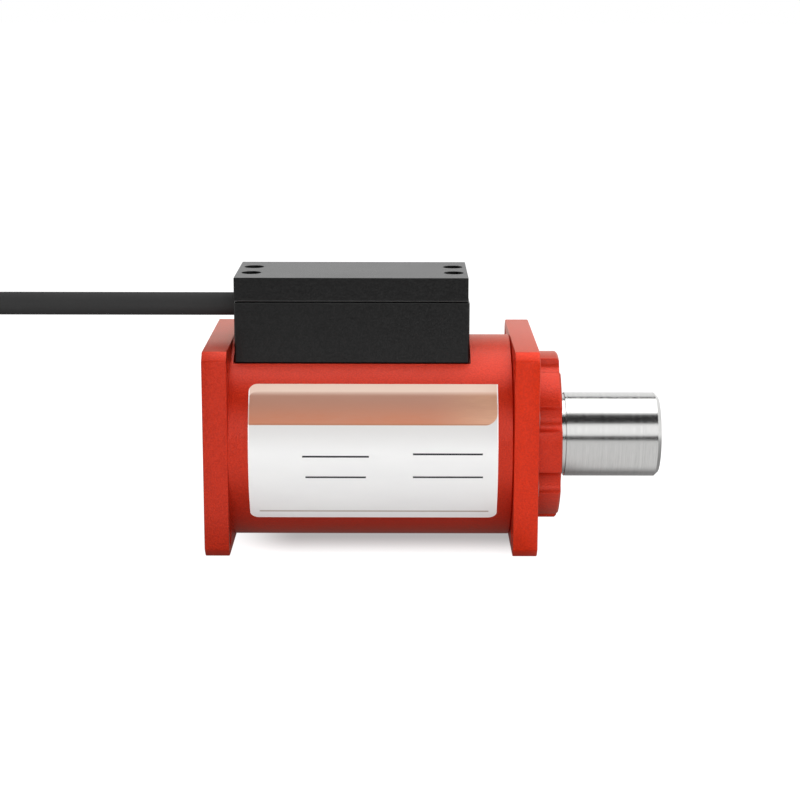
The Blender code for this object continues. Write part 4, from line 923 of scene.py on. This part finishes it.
def make_bearing_face():
    """The input bearing's two rings and the shield between them."""
    start, end = INPUT_BEARING, INPUT_BEARING + BEARING_WIDTH
    outer, inner = BEARING_OUTER / 2, BEARING_BORE / 2
    for name, low, body in (("outer", outer - RING_SHOULDER, "housing"), ("inner", inner, "shaft")):
        race = ring(start, end, low, low + RING_SHOULDER, EDGE_BREAK)
        add_piece(f"{name}_race", race, "bearing_steel", f"input_bearing_{name}_ring", body=body)
    low, high = inner + RING_SHOULDER + FIT_GAP, outer - RING_SHOULDER - FIT_GAP
    step = (high - low) / 6
    face = start + EDGE_BREAK
    back = face + SHIELD_THICKNESS
    shield = turned([
        (back, high), (face + FIT_GAP / 3, high), (face, high - step / 2), (face, high - step),
        (face + FIT_GAP / 2, high - 1.5 * step), (face + FIT_GAP / 2, low + step),
        (face, low + step / 2), (face, low), (back, low),
    ], closed=True)
    add_piece("bearing_shield", shield, "bearing_steel", "input_bearing_shield")


def make_split_ring():
    """The retaining ring in the housing: open below, with an eye at each end."""
    start = RETAINING_RING_SETBACK
    outer = HOUSING_BORE + RETAINING_RING_DEPTH
    lug = RETAINING_RING_BAND / 2
    spots = [(start, side * 2 * lug, RETAINING_RING_BAND - outer) for side in (-1, 1)]
    split = joined(
        ring(start, start + RETAINING_RING, outer - RETAINING_RING_BAND, outer),
        [rods(spots, lug, RETAINING_RING)], "UNION",
    )
    split = joined(split, [
        block((0.0, -lug, -2 * outer), (INPUT_BEARING, lug, 0.0)),
        rods([(0.0, y, z) for _, y, z in spots], lug / 2, 2 * INPUT_BEARING),
    ])
    soften(split, FINE_EDGE, 1, 50.0)
    add_piece("split_ring", split, "spring_steel", "housing_retaining_ring")


def make_seal():
    """The shaft seal in the cover, with its lip on the shaft."""
    start, outer = SEAL_FACE - SEAL_WIDTH, SEAL_DIAMETER / 2
    lip = SHAFT_DIAMETER / 2 + FIT_GAP
    wall = SEAL_WALL
    seal = turned([
        (SEAL_FACE, outer - EDGE_BREAK), (SEAL_FACE - EDGE_BREAK, outer), (start, outer),
        (start, outer - wall), (SEAL_FACE - 2 * wall, outer - wall),
        (SEAL_FACE - 2 * wall, lip + 2 * wall), (start + wall, lip + wall),
        (start + wall, lip + EDGE_BREAK), (start + 2 * wall, lip),
        (SEAL_FACE - wall / 2, lip + wall / 2), (SEAL_FACE - wall / 4, lip + wall),
        (SEAL_FACE - wall / 4, lip + 1.6 * wall), (SEAL_FACE, lip + 1.8 * wall),
    ], closed=True)
    add_piece("lip_seal", seal, "seal_rubber", "shaft_seal")


def hollow(low, high):
    """What hollows the box or its lid between two heights."""
    return block((BOX_INSIDE, -BOX_INNER_HALF, low), (BOX_INSIDE_END, BOX_INNER_HALF, high))


def make_box():
    """The junction box, with the cable's slot in its end wall."""
    body = block((BOX_START, -BOX_HALF, BOX_BASE), (BOX_END, BOX_HALF, BOX_TOP))
    slot_radius = CABLE_DIAMETER / 2 + FIT_GAP
    body = joined(soften(body, EDGE_BREAK, 1), [
        hollow(BOX_BASE + BOX_FLOOR, 2 * BOX_TOP),
        rods([(0.0, 0.0, CABLE_HEIGHT)], slot_radius, BOX_INSIDE + FIT_GAP),
        block((0.0, -slot_radius, CABLE_HEIGHT), (BOX_INSIDE + FIT_GAP, slot_radius, 2 * BOX_TOP)),
    ])
    add_piece("box_body", body, "black_anodised", "junction_box")


def make_lid():
    """The box's lid, with its pocket and the sunk holes of its four screws."""
    lid = block((BOX_START, -BOX_HALF, LID_FOOT), (BOX_END - LID_SHORTFALL, BOX_HALF, LID_TOP))
    seat = LID_TOP - LID_HOLE_DEPTH
    lid = joined(soften(lid, EDGE_BREAK / 2), [
        hollow(0.0, LID_BASE + LID_POCKET),
        rods(lid_screw_spots(seat), LID_HOLE / 2, LID_THICKNESS, (0, 0, 1)),
        rods(lid_screw_spots(0.0), SMALL_SCREW[0] / 2 + FIT_GAP, LID_TOP, (0, 0, 1)),
    ])
    soften(
        lid, FINE_EDGE, 2, 60.0,
        lambda edge: min(end.co.z for end in edge.verts) > LID_TOP - FINE_EDGE
        and max(abs(end.co.y) for end in edge.verts) < BOX_HALF - EDGE_BREAK * 2,
    )
    add_piece("lid", lid, "black_anodised", "box_lid")
    fasten(
        "lid_cap_screw", SMALL_SCREW, LID_SCREW_LENGTH, lid_screw_spots(seat + FIT_GAP), (0, 0, 1),
        "black_screw", "lid_screw",
    )


def make_label():
    """The thin plate bent round the tube's front."""
    half, arc = LABEL_LENGTH / 2, LABEL_HALF_ARC
    sheet = sheet_between(
        [(-half, -arc, 0.0), (half, -arc, 0.0), (half, arc, 0.0), (-half, arc, 0.0)]
    )
    rounded = [corner for corner in sheet.verts if corner.co.x < 0.0 or corner.co.y < 0.0]
    bevelled(sheet, rounded, LABEL_CORNER, 8, "VERTICES")
    for number in range(1, LABEL_STRIPS):
        bmesh.ops.bisect_plane(
            sheet, geom=[*sheet.verts, *sheet.edges, *sheet.faces], dist=SAME_POINT,
            plane_co=(0.0, arc * (2 * number / LABEL_STRIPS - 1), 0.0), plane_no=(0.0, 1.0, 0.0),
        )
    for point in sheet.verts:
        turn = point.co.y / LABEL_RADIUS
        point.co = (
            LABEL_START + half + point.co.x,
            -LABEL_RADIUS * math.cos(turn), LABEL_RADIUS * math.sin(turn),
        )
    bmesh.ops.recalc_face_normals(sheet, faces=sheet.faces)
    bmesh.ops.solidify(sheet, geom=sheet.faces[:], thickness=-LABEL_THICKNESS)
    add_piece("name_plate", sheet, "label_face", "label_plate")


def bend(first, second, third, fourth, count):
    """Points on a curve that leaves the first point towards the second."""
    points = []
    for step in range(count):
        share = step / (count - 1)
        rest = 1 - share
        near = rest * rest * (rest * first + 3 * share * second)
        points.append(near + share * share * (3 * rest * third + share * fourth))
    return points


def strand_out(first, radius, height):
    """A strand from its first station to the far end, and round the far turn."""
    steps = range(1, round((first - FAR_TURN) / STRAND_STEP))
    points = [Vector((first - k * STRAND_STEP, -radius, height)) for k in steps]
    for k in range(FAR_POINTS):
        angle = math.pi * k / (FAR_POINTS - 1)
        station = FAR_TURN - radius * math.sin(angle)
        points.append(Vector((station, -radius * math.cos(angle), height)))
    return points


def strand_back(turn, following):
    """A strand back from the far turn, and round the near turn to where the next one starts."""
    radius, height = turn
    next_radius, next_height = following
    steps = range(1, round((NEAR_TURN - FAR_TURN) / STRAND_STEP))
    points = [Vector((FAR_TURN + k * STRAND_STEP, radius, height)) for k in steps]
    for k in range(NEAR_POINTS):
        way = k / (NEAR_POINTS - 1)
        angle = math.pi * way
        share = way * way * (3 - 2 * way)
        reach = radius + (next_radius - radius) * share
        if next_radius == radius:
            outward = 1 if radius == OUTER_TURN else -1
            reach += outward * SWAY * math.sin(angle) ** 2
        points.append(Vector((
            NEAR_TURN + reach * math.sin(angle), reach * math.cos(angle),
            height + (next_height - height) * share,
        )))
    return points


def cable_line():
    """The cable's middle line, as stations, sides and heights above the ground."""
    level = AXIS_HEIGHT + CABLE_HEIGHT
    start = Vector((BOX_START, 0.0, level))
    drop = Vector((LEVEL_END, 0.0, level))
    land = Vector((LANDING, -INNER_TURN, LAYERS[0]))
    pull = Vector((DROP_PULL, 0.0, 0.0))
    points = [start.lerp(drop, k / RUN_POINTS) for k in range(RUN_POINTS)]
    points += bend(drop, drop - pull, land + pull, land, DROP_POINTS)
    pairs = [(INNER_TURN, OUTER_TURN), (OUTER_TURN, INNER_TURN)] * (len(LAYERS) // 2)
    turns = [(radius, height) for pair, height in zip(pairs, LAYERS) for radius in pair]
    points += strand_out(LANDING, *turns[0])
    for turn, following in zip(turns, turns[1:]):
        points += strand_back(turn, following)
        points += strand_out(NEAR_TURN, *following)
    leave, end = Vector(TAIL_START), Vector(TAIL_END)
    pull = Vector((TAIL_PULL, 0.0, 0.0))
    return points + bend(leave, leave + pull, end - Vector(TAIL_AHEAD) * TAIL_PULL, end, TAIL_POINTS)


def curve_piece(name, lines, radius, slot, nodes=(), look=None, rounds=5, shares=None):
    """A round cord along lines of points, its radius times a share at each point if given."""
    curve = bpy.data.curves.new(name, "CURVE")
    curve.dimensions = "3D"
    curve.bevel_depth = radius
    curve.bevel_resolution = rounds
    curve.use_fill_caps = True
    for line in lines:
        spline = curve.splines.new("POLY")
        spline.points.add(len(line) - 1)
        spline.use_smooth = True
        for number, (point, spot) in enumerate(zip(spline.points, line)):
            point.co = (spot[0] - MIDDLE, spot[1], spot[2], 1.0)
            if shares:
                point.radius = shares[number]
    curve.materials.append(look or LOOKS[slot])
    return settle(new_object(name, curve), nodes)


def make_sleeve(end, ahead):
    """The shrink sleeve over the end of the cable's sheath."""
    reach = END_SLEEVE_LAP + FIT_GAP + END_SLEEVE_LENGTH
    steps = len(END_SLEEVE_SHAPE)
    line = [end + ahead * (reach * k / (steps - 1) - END_SLEEVE_LAP) for k in range(steps)]
    return curve_piece(
        "shrink_sleeve", [line], CABLE_DIAMETER / 2 + END_SLEEVE_WALL, "seal_rubber",
        ["end_sleeve"], shares=END_SLEEVE_SHAPE,
    )


def make_cores(root, ahead):
    """The four cores, fanned out on the ground, with their bared tips."""
    made = []
    tips = []
    for number, look in enumerate(CORES):
        out = root + Vector((
            0.0, CORE_OFFSET * (1 if number in (2, 3) else -1),
            CORE_OFFSET * (1 if number in (1, 2) else -1),
        ))
        low = Vector((root.x + CORE_LENGTH, root.y + (number - CORE_LEAN) * CORE_SPREAD, CORE_RADIUS))
        pull = Vector((CORE_PULL, 0.0, 0.0))
        core = bend(out, out + ahead * CORE_PULL, low - pull, low, CORE_POINTS)
        made.append(curve_piece(
            look.name, [core[:1 - BARE_POINTS]], CORE_RADIUS, "core_insulation",
            ["cable_cores"] if number == 0 else [], look, 3,
        ))
        tips.append(core[-BARE_POINTS:])
    tinned = LOOKS["screw_steel"]
    made.append(curve_piece(
        "core_tips", tips, CORE_RADIUS / 2, "core_insulation", look=tinned, rounds=2
    ))
    return made


def make_cable():
    """The cable: out of the box, down to its hank, and its bared end in the hank's opening."""
    line = cable_line()
    cable = curve_piece(
        "signal_cable", [line], CABLE_DIAMETER / 2, "cable_jacket",
        ["cable", "cable_hank", "cable_tail"],
    )
    end = line[-1]
    ahead = (line[-1] - line[-2]).normalized()
    sleeve = make_sleeve(end, ahead)
    cores = make_cores(end + ahead * END_SLEEVE_LENGTH, ahead)
    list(make_tie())


def make_tie():
    """The hook-and-loop strap round the hank, and its free tail."""
    low, high = (corner + Vector((MIDDLE, 0.0, -AXIS_HEIGHT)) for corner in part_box("hank_tie"))
    strap = block(low, high)
    ends = [face for face in strap.faces if abs(face.normal.x) > 0.9]
    bmesh.ops.delete(strap, geom=ends, context="FACES_ONLY")
    corners = [edge for edge in strap.edges if along_shaft(edge)]
    bevelled(strap, corners, STRAP_CORNER, 6)
    bmesh.ops.recalc_face_normals(strap, faces=strap.faces)
    bmesh.ops.solidify(strap, geom=strap.faces[:], thickness=STRAP_THICKNESS)
    middle = (low.x + high.x) / 2
    start, end = STRAP_TAIL_SIDES
    tail = block(
        (middle - STRAP_TAIL_HALF, start, high.z),
        (middle + STRAP_TAIL_HALF, end, high.z + STRAP_THICKNESS),
    )
    for shape in (strap, tail):
        soften(shape, STRAP_EDGE, 2, 50.0)
    return [
        add_piece("hank_strap", strap, "tie_strap", "hank_tie"),
        add_piece("strap_tail", tail, "tie_strap"),
    ]


def set_camera():
    """The camera that took the photograph: 12 degrees down, square on to the shaft."""
    data = bpy.data.cameras.new("camera")
    data.sensor_fit = "HORIZONTAL"
    data.sensor_width = SENSOR_WIDTH
    data.lens = CAMERA_LENS
    data.clip_start = 0.01
    camera = new_object("camera", data)
    tilt = Matrix.Rotation(math.pi / 2 - CAMERA_PITCH, 4, "X")
    roll = Matrix.Rotation(CAMERA_ROLL, 4, "Z")
    camera.matrix_world = Matrix.Translation(CAMERA_PLACE) @ tilt @ roll
    bpy.context.scene.camera = camera


def seen_ray(bench):
    """1 for rays that show the surroundings: from the camera, or off gloss or through glass."""
    kinds = ("Is Camera Ray", "Is Glossy Ray", "Is Transmission Ray")
    camera, glossy, through = (bench.node("ShaderNodeLightPath", output=kind) for kind in kinds)
    return bench.maths("MINIMUM", camera + glossy + through, 1.0)


def set_world():
    """White surroundings that themselves give only a little light."""
    world = bpy.data.worlds.new("studio")
    world.use_nodes = True
    bpy.context.scene.world = world
    seen = seen_ray(Bench(world.node_tree))
    sky = world.node_tree.nodes["Background"]
    sky.inputs["Color"].default_value = (1.0, 1.0, 1.0, 1.0)
    world.node_tree.links.new((AMBIENT + seen * (1.0 - AMBIENT)).socket, sky.inputs["Strength"])


def stage_sheet(name, near, far, look):
    """A flat sheet across the studio, from one (side, height) line to another."""
    left, right = -STUDIO_HALF, STUDIO_HALF
    corners = ((left, *near), (right, *near), (right, *far), (left, *far))
    mesh = rest_mesh(sheet_between(corners), name)
    mesh.materials.append(look)
    made = new_object(name, mesh)
    return made


def mirrored_glow(bench, x, y, away):
    """How bright the table is in gloss: white far off, dim below the shaft, paler in front."""
    far = bench.rise(bench.length(x, y), *FAR_FADE)
    beside = bench.rise(y, *SHAFT_SIDE_FADE) * bench.rise(x, *SHAFT_END_FADE)
    ahead = bench.maths("MINIMUM", beside + bench.rise(y, *FRONT_FADE), 1.0)
    glow = MIRROR_GLOW + away * ahead * (MIRROR_FRONT - MIRROR_GLOW)
    return glow + far * (1.0 - glow)


def direct_glow(bench, x, away):
    """How bright the table is to the camera: white but for the shadow between the flanges."""
    reach = bench.apart(x, BODY_LENGTH / 2 - MIDDLE)
    beyond = bench.rise(reach, *(BODY_LENGTH / 2 - inset for inset in SHADE_STOP))
    return FLOOR_GLOW + bench.maths("MAXIMUM", away, beyond) * (1.0 - FLOOR_GLOW)


def set_floor():
    """The white table, which keeps the object's shadow and turns pure white away from it."""
    look = bpy.data.materials.new("table_top")
    look.use_nodes = True
    bench = Bench(look.node_tree)
    look.node_tree.nodes.remove(look.node_tree.nodes["Principled BSDF"])
    x, y, _ = bench.parts()
    # Painted shade: the table's glow is dimmed in a soft patch round the object's footprint, where the
    # lamps' real shadow also falls; in gloss it is painted dim below the shaft.
    past_end = bench.past(bench.apart(x, SHADE_MIDDLE), SHADE_LENGTH / 2)
    past_side = bench.past(bench.apart(y, 0.0), SHADE_WIDTH / 2)
    away = bench.rise(bench.length(past_end, past_side), 0.0, SHADE_FADE)
    mirrored = mirrored_glow(bench, x, y, away)
    camera = bench.node("ShaderNodeLightPath", output="Is Camera Ray")
    seen = seen_ray(bench)
    glow = bench.node("ShaderNodeEmission", inputs={
        "Color": (1.0, 1.0, 1.0, 1.0),
        "Strength": seen * (mirrored + camera * (direct_glow(bench, x, away) - mirrored)),
    })
    paper = bench.node("ShaderNodeBsdfDiffuse", inputs={
        "Color": bench.mix(seen, (FLOOR_BOUNCE,) * 3, (FLOOR_WHITE,) * 3),
    })
    both = bench.node("ShaderNodeAddShader", inputs={0: glow, 1: paper})
    output = look.node_tree.nodes["Material Output"]
    look.node_tree.links.new(both.socket, output.inputs["Surface"])
    stage_sheet("table", (FLOOR_FRONT, 0.0), (FLOOR_BACK, 0.0), look)


def set_flags():
    """Black cards that only gloss sees: the dark side of the studio and a gap above the backdrop."""
    black = Finish("black_card", base_color=(0.0, 0.0, 0.0), roughness=1.0, specular=0.0).material
    for name, (near, far) in FLAGS.items():
        card = stage_sheet(name, near, far, black)
        for kind in ("camera", "diffuse", "shadow", "transmission"):
            setattr(card, "visible_" + kind, False)


def soft_box(name, middle, target, size, brightness):
    """A rectangular soft light of a plain brightness, facing its target."""
    data = bpy.data.lights.new(name, "AREA")
    data.shape = "RECTANGLE"
    data.size, data.size_y = size
    data.energy = brightness * math.pi * data.size * data.size_y
    lamp = new_object(name, data)
    middle, target = Vector(middle), Vector(target)
    turn = (target - middle).to_track_quat("-Z", "Y").to_matrix().to_4x4()
    lamp.matrix_world = Matrix.Translation(middle) @ turn
    return lamp


def set_lights():
    """A soft light overhead, one in front above the camera, and a low fill that gloss misses."""
    heart = (0.0, 0.0, AXIS_HEIGHT)
    soft_box("overhead", (0.22, 0.09, 0.45), (0.22, 0.09, 0.0), (0.7, 0.44), 1.18)
    soft_box("front", (0.35, -1.088, 0.531), heart, (1.5, 0.734), 1.22)
    fill = soft_box("fill", (-0.10, -0.72, 0.03), heart, (0.7, 0.4), 5.0)
    fill.visible_glossy = False


bpy.context.scene.view_settings.view_transform = "Standard"
set_camera()
dress_nodes()
make_cable()
make_housing()
make_cover()
fasten(
    "cover_cap_screw", COVER_SCREW, COVER_SCREW_LENGTH,
    cover_screw_spots(COVER_HEAD_BASE - FIT_GAP + HAIR_GAP), (1, 0, 0), "screw_steel",
    "cover_screw",
)
make_shaft()
make_bearing_face()
make_split_ring()
make_seal()
make_box()
make_lid()
make_label()
set_world()
set_floor()
set_flags()
set_lights()
